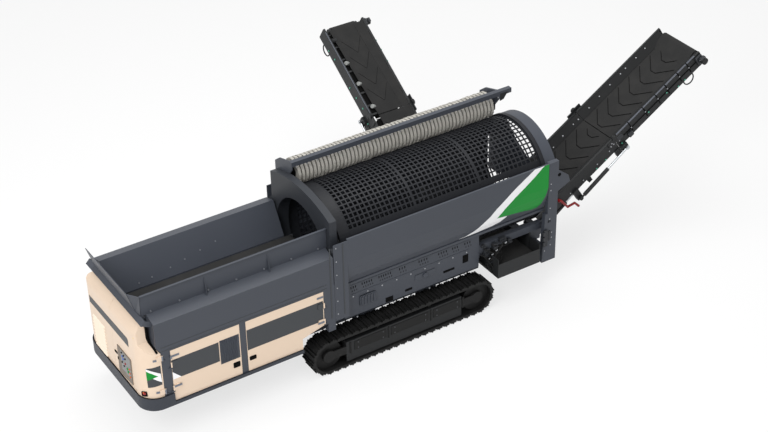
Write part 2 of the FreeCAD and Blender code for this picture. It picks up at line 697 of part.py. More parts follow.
def make_module_posts():
    """Posts and wide plates between the hopper and the trommel sides."""
    post = box(POST_A_X0, POST_A_X1, -BODY_HALF, -BODY_HALF + POST_DEPTH,
               BEAM_Z1 + 20, HOPPER_SKIN_Z0)
    bracket = box(POST_A_X0, POST_A_X1, -BODY_HALF + POST_DEPTH, -RAIL_OUT, RAIL_Z0, RAIL_Z1)
    plate = box(MODULE_X0, MODULE_X1, -BODY_HALF, -BODY_HALF + SHEET, MODULE_Z0, MODULE_TOP_Z)
    web = box(MODULE_X0, MODULE_X0 + SHEET, -BODY_HALF + SHEET, -RAIL_OUT, MODULE_Z0, HOPPER_SKIN_Z0)
    link = box(POST_A_X1 - 40, MODULE_X0 + 20, -BODY_HALF + SHEET, -BODY_HALF + 50,
               RAIL_Z1, HOPPER_SKIN_Z0 - 10)
    save_both("module_posts", fuse(post, bracket, plate, web, link))


def arch_outline(inset, x):
    """Face with stepped upright sides and a shallow arc across the top."""
    low, half = ARCH_HALF - inset, ARCH_TOP_HALF - inset
    spring_z = ARCH_SPRING_Z - inset
    radius = ARCH_R - inset
    top = spring_z + radius - (radius ** 2 - half ** 2) ** 0.5
    near = [V(x, half, spring_z), V(x, half, ARCH_STEP_Z + ARCH_STEP_RISE), V(x, low, ARCH_STEP_Z),
            V(x, low, RAIL_Z1), V(x, -low, RAIL_Z1), V(x, -low, ARCH_STEP_Z),
            V(x, -half, ARCH_STEP_Z + ARCH_STEP_RISE), V(x, -half, spring_z)]
    edges = [Part.Arc(near[-1], V(x, 0, top), near[0]).toShape()]
    edges += [Part.LineSegment(a, b).toShape() for a, b in zip(near, near[1:])]
    return Part.Face(Part.Wire(edges))


def make_inlet_arch():
    """Plate round the drum's inlet, with a flange along its outer edge."""
    whole = arch_outline(0, ARCH_X0).extrude(V(ARCH_X1 - ARCH_X0, 0, 0))
    inner = arch_outline(SHEET, ARCH_X0 + SHEET).extrude(V(ARCH_X1 - ARCH_X0, 0, 0))
    hole = rod(INLET_R, (ARCH_X0 - 10, 0, DRUM_Z), (ARCH_X1 + 10, 0, DRUM_Z))
    collar = rod(INLET_R, (ARCH_X0, 0, DRUM_Z), (DRUM_X0 - 40, 0, DRUM_Z))
    collar = collar.cut(rod(INLET_R - SHEET, (ARCH_X0 - 10, 0, DRUM_Z), (DRUM_X0, 0, DRUM_Z)))
    half = BELT_HALF + 40
    below = box(ARCH_X0 - 10, ARCH_X1 + 10, -half, half, 0, FEED_Z + 10)
    save("inlet_arch", fuse(whole.cut(inner).cut(hole), collar).cut(below))


def drum_ring(x0, x1, outer, wall):
    """Ring about the drum's axis."""
    tube = rod(outer, (x0, 0, DRUM_Z), (x1, 0, DRUM_Z))
    return tube.cut(rod(outer - wall, (x0 - 1, 0, DRUM_Z), (x1 + 1, 0, DRUM_Z)))


def window_star(x0, x1):
    """Bars through the drum's axis that cut one ring of windows."""
    half = DRUM_R * sin(pi / WINDOWS_ROUND) * WINDOW_SHARE
    bars = []
    for i in range(WINDOWS_ROUND // 2):
        bar = box(x0, x1, -half, half, DRUM_Z - 2 * DRUM_R, DRUM_Z + 2 * DRUM_R)
        bar.rotate(V(0, 0, DRUM_Z), V(1, 0, 0), 360.0 * (i + 0.5) / WINDOWS_ROUND)
        bars.append(bar)
    return fuse(*bars)


def make_drum():
    """Screening drum, a thin round shell full of windows, with a stiff ring at each end."""
    start, end = DRUM_X0 + END_RING_WIDTH, DRUM_X1 - REAR_RING_WIDTH
    shell = drum_ring(DRUM_X0, DRUM_X1, DRUM_R, DRUM_WALL)
    pitch = (end - start) / WINDOWS_ALONG
    rim = pitch * (1 - WINDOW_SHARE) / 2
    star = window_star(start + rim, start + pitch - rim)
    stars = [star.translated(V(i * pitch, 0, 0)) for i in range(WINDOWS_ALONG)]
    shell = shell.cut(Part.makeCompound(stars))
    front = drum_ring(DRUM_X0, start, DRUM_R, END_RING_WALL)
    save("drum", fuse(shell, front))
    save("drum_rear_ring", drum_ring(end, DRUM_X1, REAR_RING_R, REAR_RING_R - DRUM_R))


def make_outlet():
    """Round cover over the drum's rear end, on feet from the end posts."""
    cover = drum_ring(OUTLET_X0, OUTLET_X1, OUTLET_R, OUTLET_WALL)
    cover = cover.cut(box(OUTLET_X0 - 5, OUTLET_X1 + 5, -2000, 2000, 0, OUTLET_FOOT_Z))
    feet = []
    for side in (-1, 1):
        y0, y1 = sorted((side * END_POST_IN, side * (END_POST_IN - 70)))
        feet.append(box(OUTLET_X0, END_POST_X1, y0, y1, OUTLET_FOOT_Z, OUTLET_FOOT_Z + 150))
    save("outlet_cover", fuse(cover, *feet))


def hinge_plate(side, half, pin, outline):
    """Bored plate beside a conveyor, in the plane of X and Z."""
    y0, y1 = sorted((side * (half + EYE_GAP), side * (half + EYE_GAP + LUG_THICK)))
    plate = along_y(outline, y0, y1)
    return plate.cut(rod(PIN_R + PIN_GAP, (pin[0], y0 - 5, pin[1]), (pin[0], y1 + 5, pin[1])))


def make_end_frame():
    """End posts, the member between them and the hinges of the rear conveyor."""
    parts = []
    for side in (-1, 1):
        y0, y1 = sorted((side * END_POST_IN, side * BODY_HALF))
        parts.append(box(END_POST_X0, END_POST_X1, y0, y1, END_POST_KNEE_Z, SIDE_TOP_Z))
        parts.append(along_y([(END_POST_FOOT_X0, END_POST_Z0), (END_POST_X1, END_POST_Z0),
                              (END_POST_X1, END_POST_KNEE_Z), (END_POST_X0 - 60, END_POST_KNEE_Z)],
                             y0, y1))
        e0, e1 = sorted((side * (BODY_HALF - SHEET), side * BODY_HALF))
        parts.append(along_y([(END_POST_X1, 2740), (END_POST_X1 + 250, 2540),
                              (END_POST_X1 + 300, 2380), (END_POST_X1, 2240)], e0, e1))
    x0, x1 = END_POST_FOOT_X0 + 60, END_POST_X1 - 80
    top = END_POST_Z0 + 200
    parts.append(box(x0, x1, -END_POST_IN, END_POST_IN, END_POST_Z0, top))
    px, pz = tail_point(0, -TAIL_PIN_DROP)
    outline = [(x0, top - 100), (x1, top - 100), (px + LUG_R, pz - LUG_R), (px + LUG_R, pz),
               (px, pz + LUG_R), (px - LUG_R, pz + LUG_R - 20), (x0, top + 130)]
    for side in (-1, 1):
        parts.append(hinge_plate(side, TAIL_HALF, (px, pz), outline))
        w0, w1 = sorted((side * (REAR_LIFT_W + EYE_THICK / 2 + EYE_GAP),
                         side * (REAR_LIFT_W + EYE_THICK / 2 + EYE_GAP + LUG_THICK)))
        lug = box(x1 - 20, REAR_LIFT_X + EYE_R, w0, w1, REAR_LIFT_Z - EYE_R, REAR_LIFT_Z + EYE_R)
        p0, p1 = sorted((side * (REAR_LIFT_W - EYE_THICK / 2), w1 if side > 0 else w0))
        parts += [lug, rod(EYE_PIN_R, (REAR_LIFT_X, p0, REAR_LIFT_Z), (REAR_LIFT_X, p1, REAR_LIFT_Z))]
    save("end_frame", fuse(*parts))

    plate = box(EYE_X - 70, EYE_X + 70, -EYE_HALF, EYE_HALF, EYE_Z - 50, END_POST_Z0)
    hole = rod(EYE_BORE_R, (EYE_X, -EYE_HALF - 5, EYE_Z), (EYE_X, EYE_HALF + 5, EYE_Z))
    save("recovery_eye", plate.cut(hole))


def make_brush():
    """Round brush on its shaft, and the beam and plates that carry it."""
    core = rod(BRUSH_R, (BRUSH_X0, BRUSH_Y, BRUSH_Z), (BRUSH_X1, BRUSH_Y, BRUSH_Z))
    x0, x1 = ARCH_X1, END_POST_X0 + 4
    shaft = rod(BRUSH_SHAFT_R, (x0 + 2, BRUSH_Y, BRUSH_Z), (x1 + 38, BRUSH_Y, BRUSH_Z))
    save("brush", fuse(core, shaft))
    y, z = BRUSH_BEAM_Y, BRUSH_BEAM_Z
    beam = box(x0, BRUSH_BEAM_X1, y - 50, y + 50, z - 50, z + 50)
    low = BRUSH_Z - BRUSH_REACH_DOWN
    side = [(BODY_HALF - 90, low), (BODY_HALF - 90, low + 400), (BRUSH_Y + 180, z - 70), (y + 50, z + 50),
            (y - 50, z + 50), (y - 50, z - 110), (BRUSH_Y - 80, low + 200), (BRUSH_Y + 150, low)]
    plates = [along_x(side, x0, x0 + PLATE), along_x(side, x1, x1 + 2 * PLATE)]
    foot = box(x1, x1 + 2 * PLATE, END_POST_IN, BODY_HALF, SIDE_TOP_Z, SIDE_TOP_Z + BRUSH_FOOT_RISE)
    bore = rod(BRUSH_SHAFT_R + PIN_GAP, (x0 - 5, BRUSH_Y, BRUSH_Z), (x1 + 60, BRUSH_Y, BRUSH_Z))
    save("brush_beam", fuse(beam, *plates, foot).cut(bore))


def obround(x0, x1, zc, radius, y0, y1):
    """Solid with round ends, long in X, between two Y planes."""
    middle = box(x0, x1, y0, y1, zc - radius, zc + radius)
    return fuse(middle, rod(radius, (x0, y0, zc), (x0, y1, zc)),
                rod(radius, (x1, y0, zc), (x1, y1, zc)))


def track_path(s, radius):
    """Point, tangent and outward normal at a length s round the track."""
    run = TRACK_X1 - TRACK_X0
    turn = pi * radius
    s = s % (2 * (run + turn))
    if s < run:
        return (TRACK_X0 + s, TRACK_R + radius), (1, 0), (0, 1)
    s -= run
    if s < turn:
        a = s / radius
        return ((TRACK_X1 + radius * sin(a), TRACK_R + radius * cos(a)),
                (cos(a), -sin(a)), (sin(a), cos(a)))
    s -= turn
    if s < run:
        return (TRACK_X1 - s, TRACK_R - radius), (-1, 0), (0, -1)
    a = (s - run) / radius
    return ((TRACK_X0 - radius * sin(a), TRACK_R - radius * cos(a)),
            (-cos(a), sin(a)), (-sin(a), -cos(a)))


def track_outline():
    """Outer outline of the track: a plate and a bar for each shoe."""
    radius = TRACK_R - GROUSER - SHOE_THICK
    length = 2 * (TRACK_X1 - TRACK_X0) + 2 * pi * radius
    pitch = length / SHOES
    half = pitch * SHOE_SHARE / 2
    bar = pitch * GROUSER_SHARE / 2
    top, tip = SHOE_THICK, SHOE_THICK + GROUSER
    shoe = [(-half, 0), (-half, top), (-bar, top), (-bar, tip), (bar, tip), (bar, top),
            (half, top), (half, 0)]
    points = []
    for i in range(SHOES):
        (x, z), (tx, tz), (nx, nz) = track_path((i + 0.5) * pitch, radius)
        points += [(x + t * tx + h * nx, z + t * tz + h * nz) for t, h in shoe]
    return points


def make_tracks():
    """Track loops, their frames, wheels and rollers."""
    inner_r = TRACK_R - GROUSER - SHOE_THICK - LINK_THICK
    loop = along_y(track_outline(), -TRACK_OUT, -TRACK_IN)
    loop = loop.cut(obround(TRACK_X0, TRACK_X1, TRACK_R, inner_r, -TRACK_OUT - 10, -TRACK_IN + 10))
    save_pair("track", loop)

    skirts = [box(TRACK_FRAME_X0, TRACK_FRAME_X1, y, y + PLATE, TRACK_SKIRT_Z0, TRACK_FRAME_Z0)
              for y in (-TRACK_FRAME_OUT, -TRACK_FRAME_IN - PLATE)]
    frame = box(TRACK_FRAME_X0, TRACK_FRAME_X1, -TRACK_FRAME_OUT, -TRACK_FRAME_IN,
                TRACK_FRAME_Z0, TRACK_FRAME_Z1)
    save_both("track_frames", fuse(frame, *skirts))

    rollers = []
    wheel_r = inner_r - SEAT_GAP
    for x, end in ((TRACK_X0, TRACK_FRAME_X0), (TRACK_X1, TRACK_FRAME_X1)):
        disc = rod(wheel_r, (x, WHEEL_INSET - TRACK_OUT, TRACK_R), (x, -TRACK_IN - WHEEL_INSET - 20, TRACK_R))
        hub = rod(130, (x, -TRACK_FRAME_OUT, TRACK_R), (x, -TRACK_FRAME_IN, TRACK_R))
        ear_x = sorted((x, end))
        ears = [box(*ear_x, y, y + 30, TRACK_R - 90, TRACK_R + 90)
                for y in (-TRACK_FRAME_OUT, -TRACK_FRAME_IN - 30)]
        rollers.append(fuse(disc, hub, *ears))
    roll_z = TRACK_R - wheel_r + ROLLER_R
    step = (TRACK_FRAME_X1 - TRACK_FRAME_X0 - 3 * ROLLER_R) / (ROLLERS - 1)
    for i in range(ROLLERS):
        x = TRACK_FRAME_X0 + 1.5 * ROLLER_R + i * step
        rollers.append(rod(ROLLER_R, (x, -TRACK_FRAME_OUT + PLATE, roll_z),
                           (x, -TRACK_FRAME_IN - PLATE, roll_z)))
    top_z = TRACK_R + wheel_r - TOP_ROLLER_R
    y0, y1 = WHEEL_INSET - 10 - TRACK_OUT, -TRACK_IN - WHEEL_INSET - 10
    for share in TOP_ROLLER_SHARES:
        x = TRACK_X0 + share * (TRACK_X1 - TRACK_X0)
        roller = rod(TOP_ROLLER_R, (x, y0, top_z), (x, y1, top_z))
        stand = box(x - 30, x + 30, y0, y1, TRACK_FRAME_Z1, top_z)
        rollers.append(fuse(roller, stand))
    save_both("track_rollers", Part.makeCompound(rollers))


def tail_point(s, h):
    """Machine X and Z of a point of the rear conveyor: s along, h above."""
    a = radians(TAIL_ANGLE)
    return TAIL_X + s * cos(a) - h * sin(a), TAIL_Z + s * sin(a) + h * cos(a)


def side_point(s, h):
    """Machine Y and Z of a point of the side conveyor: s along, h above."""
    a = radians(SIDE_ANGLE)
    return SIDE_Y + s * cos(a) - h * sin(a), SIDE_Z + s * sin(a) + h * cos(a)


def to_tail(shape):
    """Turn a shape drawn along X into the rear conveyor's place."""
    placed = shape.copy()
    placed.rotate(V(0, 0, 0), V(0, 1, 0), -TAIL_ANGLE)
    placed.translate(V(TAIL_X, 0, TAIL_Z))
    return placed


def to_side(shape):
    """Turn a shape drawn along X into the side conveyor's place."""
    placed = shape.copy()
    placed.rotate(V(0, 0, 0), V(0, 1, 0), -SIDE_ANGLE)
    placed.rotate(V(0, 0, 0), V(0, 0, 1), 90)
    placed.translate(V(SIDE_X, SIDE_Y, SIDE_Z))
    return placed


def frame_section(half, s0, s1):
    """Two side beams joined by cross tubes, drawn along X with the belt at Z 0."""
    parts = []
    inner = half - CONV_BEAM
    for side in (-1, 1):
        w0, w1 = sorted((side * inner, side * half))
        parts.append(box(s0, s1, w0, w1, -CONV_BEAM_DOWN, CONV_BEAM_UP))
    count = max(2, int((s1 - s0) / 700))
    for i in range(count):
        s = s0 + (s1 - s0) * (i + 0.5) / count
        parts.append(box(s - 25, s + 25, -inner, inner, -CONV_BEAM_DOWN + 110,
                         -CONV_BEAM_DOWN + 170))
    return parts


def pins(half, s, h):
    """Hinge pins that stand out from both side beams."""
    return [rod(PIN_R, (s, side * (half - CONV_BEAM), h),
                (s, side * (half + EYE_GAP + LUG_THICK), h)) for side in (-1, 1)]


def side_block(side, half, s0, s1, h0, h1, out):
    """Block on a side beam, from the beam's inner face to out past its outer face."""
    w0, w1 = sorted((side * (half - CONV_BEAM), side * (half + out)))
    return box(s0, s1, w0, w1, h0, h1)


def fold_brackets(half, fold, owner):
    """Blocks under the fold, with the lugs of the two fold cylinders."""
    parts = []
    reach = FOLD_EYE_OUT - EYE_THICK / 2 - SEAT_GAP
    low = FOLD_ROD_H - EYE_R - 24
    for side in (-1, 1):
        if owner == "upper":
            parts.append(side_block(side, half, fold + FOLD_SLOT, fold + FOLD_ROD_S + EYE_R + 10,
                                    low, -CONV_BEAM_DOWN + 20, reach))
            continue
        parts.append(side_block(side, half, fold - 140, fold, low, -CONV_BEAM_DOWN + 20, 20))
        s, h = fold + FOLD_EYE_S, FOLD_EYE_H
        parts.append(side_block(side, half, s - EYE_R - 20, s + EYE_R + 20, h - EYE_R,
                                -CONV_BEAM_DOWN + 60, reach - EYE_GAP))
        parts.append(rod(EYE_PIN_R, (s, side * half, h),
                         (s, side * (half + FOLD_EYE_OUT + EYE_THICK / 2), h)))
    return parts


def belt_strip(half, s0, s1, head=None, tail=None):
    """Carrying run with raised wings, a flat return run and the turns round the rollers."""
    flat = half - CONV_BEAM - WING_WIDTH
    edge = half - CONV_BEAM - 8
    carry = along_x(band([(-edge, WING_RISE - 50), (-flat, 0), (flat, 0), (edge, WING_RISE - 50)],
                         -BELT_THICK), s0, s1)
    low = -2 * CONV_ROLL_R
    back = box(s0, s1, -flat - 60, flat + 60, low, low + BELT_THICK)
    parts = [carry, back]
    for end, towards in ((head, 1), (tail, -1)):
        if end is None:
            continue
        wrap = rod(CONV_ROLL_R, (end, -flat - 60, -CONV_ROLL_R), (end, flat + 60, -CONV_ROLL_R))
        wrap = wrap.cut(rod(CONV_ROLL_R - BELT_THICK, (end, -edge, -CONV_ROLL_R),
                            (end, edge, -CONV_ROLL_R)))
        x_cut = sorted((end, end - towards * 3 * CONV_ROLL_R))
        parts.append(wrap.cut(box(*x_cut, -half, half, -3 * CONV_ROLL_R, CONV_ROLL_R)))
    return fuse(*parts)


def roller(half, s):
    """Belt roller with its shaft ends in the side beams."""
    flat = half - CONV_BEAM - WING_WIDTH + 60
    r = CONV_ROLL_R - BELT_THICK - SEAT_GAP
    drum = rod(r, (s, -flat, -CONV_ROLL_R), (s, flat, -CONV_ROLL_R))
    shaft = rod(28, (s, -half + CONV_BEAM, -CONV_ROLL_R), (s, half - CONV_BEAM, -CONV_ROLL_R))
    return fuse(drum, shaft)


def fold_lugs(half, owner):
    """Hinge lugs at the fold: inner pair on the lower section, outer pair on the upper."""
    parts = []
    s, h = FOLD_SLOT / 2, FOLD_UP
    for side in (-1, 1):
        if owner == "lower":
            w0, w1 = sorted((side * half, side * (half + LUG_THICK)))
            plate = box(-190, 0, w0, w1, -60, h + 20)
            parts += [plate, rod(LUG_R, (s, w0, h), (s, w1, h))]
            pin0, pin1 = sorted((side * half, side * (half + 2 * LUG_THICK + EYE_GAP)))
            parts.append(rod(PIN_R, (s, pin0, h), (s, pin1, h)))
        else:
            a = half + LUG_THICK + EYE_GAP
            w0, w1 = sorted((side * a, side * (a + LUG_THICK)))
            plate = box(FOLD_SLOT, 200, w0, w1, -60, h + 20)
            foot0, foot1 = sorted((side * half, side * (a + LUG_THICK)))
            foot = box(90, 200, foot0, foot1, -60, 30)
            eye = rod(LUG_R, (s, w0, h), (s, w1, h))
            hole = rod(PIN_R + PIN_GAP, (s, w0 - 1, h), (s, w1 + 1, h))
            parts.append(fuse(plate, foot, eye).cut(hole))
    return parts


def moved(shape, s):
    """A copy moved along its conveyor."""
    placed = shape.copy()
    placed.translate(V(s, 0, 0))
    return placed


def hose_loop(start, end, way, reach):
    """Hose that leaves one point, turns back in a half circle and comes in at another."""
    a, b, out = V(*start), V(*end), V(*way)
    across = b - a
    far_a, far_b = a + out * reach, b + out * reach
    bend = Part.makeTorus(across.Length / 2, HOSE_R, V(0, 0, 0), V(0, 0, 1), -180, 180, 180)
    across.normalize()
    turn = FreeCAD.Rotation(across, out, across.cross(out), "XYZ")
    bend.Placement = FreeCAD.Placement((far_a + far_b) * 0.5, turn)
    return fuse(rod(HOSE_R, a, far_a), bend, rod(HOSE_R, b, far_b))


def motor(half, s):
    """Drive motor on the outside of a side beam."""
    return rod(MOTOR_R, (s, -half - MOTOR_LENGTH, -CONV_ROLL_R), (s, -half, -CONV_ROLL_R))


def ram(length, lug_side):
    """Barrel and rod of a hydraulic cylinder, drawn from eye to eye along X."""
    half = EYE_THICK / 2
    barrel_end = length * BARREL_SHARE
    barrel = fuse(rod(EYE_R, (0, -half, 0), (0, half, 0)),
                  rod(half - 3, (EYE_R / 2, 0, 0), (NECK_LENGTH + 5, 0, 0)),
                  rod(BARREL_R, (NECK_LENGTH, 0, 0), (barrel_end, 0, 0)))
    barrel = barrel.cut(rod(ROD_R + PIN_GAP, (BORE_START, 0, 0), (barrel_end + 5, 0, 0)))
    barrel = barrel.cut(rod(EYE_PIN_R + PIN_GAP, (0, -half - 5, 0), (0, half + 5, 0)))
    head0, head1 = sorted((-lug_side * half, -lug_side * (half + 12)))
    piston = fuse(rod(ROD_R, (ROD_START, 0, 0), (length - EYE_R / 2, 0, 0)),
                  rod(EYE_R, (length, -half, 0), (length, half, 0)),
                  rod(EYE_PIN_R, (length, head0, 0), (length, head1, 0)))
    return barrel, piston


def make_rams(name, start, end, across, lug_out, place):
    """Two like cylinders, one each side, between eyes given in their plane of motion."""
    run_a, run_z = end[0] - start[0], end[1] - start[1]
    angle = degrees(atan2(run_z, run_a))
    groups = ([], [])
    for side in (-1, 1):
        for shape, group in zip(ram(hypot(run_a, run_z), side * lug_out), groups):
            shape.rotate(V(0, 0, 0), V(0, 1, 0), -angle)
            shape.translate(V(start[0], side * across, start[1]))
            group.append(place(shape))
    save(name + "_barrels", Part.makeCompound(groups[0]))
    save(name + "_rods", Part.makeCompound(groups[1]))


def in_place(shape):
    """Cylinders of the rear conveyor are drawn where they stand."""
    return shape


def turned_to_side(shape):
    """Cylinders of the side conveyor are drawn along X and turned to Y."""
    shape.rotate(V(0, 0, 0), V(0, 0, 1), 90)
    shape.translate(V(SIDE_X, 0, 0))
    return shape


def make_all_rams():
    """Lift and fold cylinders of both conveyors."""
    make_rams("rear_lift", (REAR_LIFT_X, REAR_LIFT_Z), tail_point(REAR_LIFT_S, REAR_LIFT_H),
              REAR_LIFT_W, 1, in_place)
    make_rams("side_lift", (SIDE_LIFT_Y, SIDE_LIFT_Z), side_point(SIDE_LIFT_S, SIDE_LIFT_H),
              SIDE_LIFT_W, 1, turned_to_side)
    for name, point, fold, half, place in (
            ("rear_fold", tail_point, TAIL_FOLD, TAIL_HALF, in_place),
            ("side_fold", side_point, SIDE_FOLD, SIDE_HALF, turned_to_side)):
        make_rams(name, point(fold + FOLD_EYE_S, FOLD_EYE_H), point(fold + FOLD_ROD_S, FOLD_ROD_H),
                  half + FOLD_EYE_OUT, -1, place)


def make_conveyor(name, place, half, length, back, fold, pin_drop, lift_eye):
    """Lower and upper section of a folding conveyor, each with its belt and roller."""
    tail_s = -back + CONV_ROLL_R + 20
    lower = frame_section(half, -back, fold) + pins(half, 0, -pin_drop)
    lower += [moved(p, fold) for p in fold_lugs(half, "lower")]
    lower += fold_brackets(half, fold, "lower")
    lift_s, lift_h, lift_w = lift_eye
    reach = lift_w + EYE_THICK / 2 + SEAT_GAP
    for side in (-1, 1):
        w0, w1 = sorted((side * reach, side * half))
        lower.append(box(lift_s - EYE_R, lift_s + EYE_R, w0, w1, lift_h - EYE_R,
                         -CONV_BEAM_DOWN + 10))
        if lift_s - EYE_R < -back:
            lower.append(side_block(side, half, lift_s - EYE_R, -back + 60, lift_h + EYE_R,
                                    -pin_drop + 20, 0))
    upper = frame_section(half, fold + FOLD_SLOT, length + 60)
    upper += [moved(p, fold) for p in fold_lugs(half, "upper")]
    upper += fold_brackets(half, fold, "upper")
    upper.append(motor(half, length))
    under = -CONV_BEAM_DOWN + 20
    for side, s0 in ((-1, length - 560), (1, length - 400)):
        w = side * (half - CONV_BEAM / 2)
        upper.append(hose_loop((s0, w, under), (s0 + 260, w, under), (0, 0, -1), 70))
    save(name + "_lower_frame", place(Part.makeCompound([fuse(*lower), roller(half, tail_s)])))
    save(name + "_upper_frame", place(Part.makeCompound([fuse(*upper), roller(half, length)])))
    save(name + "_lower_belt", place(belt_strip(half, tail_s, fold, tail=tail_s)))
    save(name + "_upper_belt", place(belt_strip(half, fold + FOLD_SLOT, length, head=length)))


def flat_belt_across(y0, y1, half, z_top, radius):
    """Flat belt that runs along Y, under the drum."""
    belt = belt_loop(y0, y1, half, z_top, radius)
    belt.rotate(V(0, 0, 0), V(0, 0, 1), 90)
    belt.translate(V(SIDE_X, 0, 0))
    return belt


def make_fines_belt():
    """Belt along the machine under the drum, with its side plates and rollers."""
    x0, x1 = FINES_X0 + FINES_ROLL_R, FINES_X1 - FINES_ROLL_R
    save("fines_belt", belt_loop(x0, x1, FINES_HALF, FINES_Z, FINES_ROLL_R))
    zc = FINES_Z - FINES_ROLL_R
    inner = FINES_HALF + FINES_PLATE_GAP
    solids = []
    for x in (x0, x1):
        drum = rod(FINES_ROLL_R - BELT_THICK - SEAT_GAP, (x, -FINES_HALF, zc), (x, FINES_HALF, zc))
        solids.append(fuse(drum, rod(20, (x, -inner, zc), (x, inner, zc))))
    for y in (-inner - SHEET, inner):
        foot_x1 = CROSS_X[-1] + CROSS_WIDTH
        plate = box(FINES_X0, FINES_X1 - 20, y, y + SHEET, zc - 30, FINES_Z - 10)
        solids.append(fuse(plate, box(FINES_X0 + 200, foot_x1, y, y + SHEET, CROSS_Z1, zc)))
    save("fines_frame", Part.makeCompound(solids))


def make_bed():
    """Fixed flat part of the fines conveyor, across the machine under the drum."""
    half = SIDE_HALF
    x0, x1 = SIDE_X - half, SIDE_X + half
    far_wall = [(BED_Y0, BED_Z0), (BED_Y1, BED_Z0), (BED_Y1, BED_MIDDLE_Z), (-BED_END_HALF, BED_MIDDLE_Z),
                (-BED_END_HALF, BED_END_Z), (BED_Y0, BED_END_Z)]
    near_wall = [(BED_Y0, BED_Z0), (BED_Y1, BED_Z0), (BED_Y1, BED_LOW_Z), (-BED_END_HALF, BED_LOW_Z),
                 (-BED_END_HALF, BED_END_Z), (BED_Y0, BED_END_Z)]
    parts = [along_x(far_wall, x1 - SHEET, x1), along_x(near_wall, x0, x0 + SHEET),
             box(x0, x1, BED_Y0, BED_Y1, BED_Z0, BED_Z0 + SHEET),
             box(x0, x1, BED_Y0, BED_Y0 + SHEET, BED_Z0, BED_END_Z - 120)]
    for x in (x0, x1 - HANGER_WIDTH):
        for y in (-RAIL_OUT, RAIL_IN):
            parts.append(box(x, x + HANGER_WIDTH, y, y + RAIL_WIDTH, BED_Z0 + SHEET / 2, RAIL_Z0))
    hinge_y, hinge_z = side_point(0, -SIDE_PIN_DROP)
    lift = SIDE_LIFT_W + EYE_THICK / 2 + EYE_GAP
    for side in (-1, 1):
        w0, w1 = sorted((SIDE_X + side * (half + EYE_GAP),
                         SIDE_X + side * (half + EYE_GAP + LUG_THICK)))
        plate = box(w0, w1, BED_Y1 - 300, hinge_y, hinge_z - LUG_R, hinge_z + LUG_R)
        eye = rod(LUG_R, (w0, hinge_y, hinge_z), (w1, hinge_y, hinge_z))
        hole = rod(PIN_R + PIN_GAP, (w0 - 5, hinge_y, hinge_z), (w1 + 5, hinge_y, hinge_z))
        foot0, foot1 = sorted((SIDE_X + side * (half - SHEET), w1 if side > 0 else w0))
        foot = box(foot0, foot1, BED_Y1 - 300, BED_Y1 - 160, hinge_z - LUG_R, hinge_z + LUG_R)
        parts.append(fuse(plate, eye, foot).cut(hole))
        l0, l1 = sorted((SIDE_X + side * lift, SIDE_X + side * (lift + LUG_THICK)))
        parts.append(box(l0, l1, SIDE_LIFT_Y - EYE_R - 30, SIDE_LIFT_Y + EYE_R,
                         SIDE_LIFT_Z - EYE_R, BED_Z0 + 2))
        p0, p1 = sorted((SIDE_X + side * (SIDE_LIFT_W - EYE_THICK / 2), l1 if side > 0 else l0))
        parts.append(rod(EYE_PIN_R, (p0, SIDE_LIFT_Y, SIDE_LIFT_Z), (p1, SIDE_LIFT_Y, SIDE_LIFT_Z)))
    frame = fuse(*parts)
    y0, y1 = BED_Y0 + BED_ROLL_R + 60, BED_Y1 - BED_ROLL_R - 20
    rollers = []
    for y in (y0, y1):
        z = SIDE_Z - BED_ROLL_R
        drum = rod(BED_ROLL_R - BELT_THICK - SEAT_GAP, (SIDE_X - BED_BELT_HALF, y, z),
                   (SIDE_X + BED_BELT_HALF, y, z))
        rollers.append(fuse(drum, rod(22, (x0 + SHEET, y, z), (x1 - SHEET, y, z))))
    save("bed_frame", Part.makeCompound([frame] + rollers))
    save("bed_belt", flat_belt_across(y0, y1, BED_BELT_HALF, SIDE_Z, BED_ROLL_R))


def main():
    os.makedirs("parts", exist_ok=True)
    make_base()
    make_hood()
    make_door_frames()
    make_doors()
    make_engine()
    make_hopper()
    make_feeder()
    make_chassis()
    make_trommel_sides()
    make_module_posts()
    make_inlet_arch()
    make_drum()
    make_drum_rollers()
    make_outlet()
    make_end_frame()
    make_brush()
    make_tracks()
    make_fines_belt()
    make_bed()
    make_conveyor("rear", to_tail, TAIL_HALF, TAIL_LENGTH, TAIL_BACK, TAIL_FOLD, TAIL_PIN_DROP,
                  (REAR_LIFT_S, REAR_LIFT_H, REAR_LIFT_W))
    make_conveyor("side", to_side, SIDE_HALF, SIDE_LENGTH, -60.0, SIDE_FOLD, SIDE_PIN_DROP,
                  (SIDE_LIFT_S, SIDE_LIFT_H, SIDE_LIFT_W))
    make_all_rams()


main()
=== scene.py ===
"""Looks of a drum screen on crawler tracks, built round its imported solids.

Metres, in the frame of the solids. Most places are written in the machine's
own frame, which has X 0 at the bumper and Y 0 on the centreline; here() moves
them. Each conveyor has a frame of its own: s along it, w across, h above the
belt.
"""

import json
import math

import bpy
import bmesh
from mathutils import Matrix, Vector

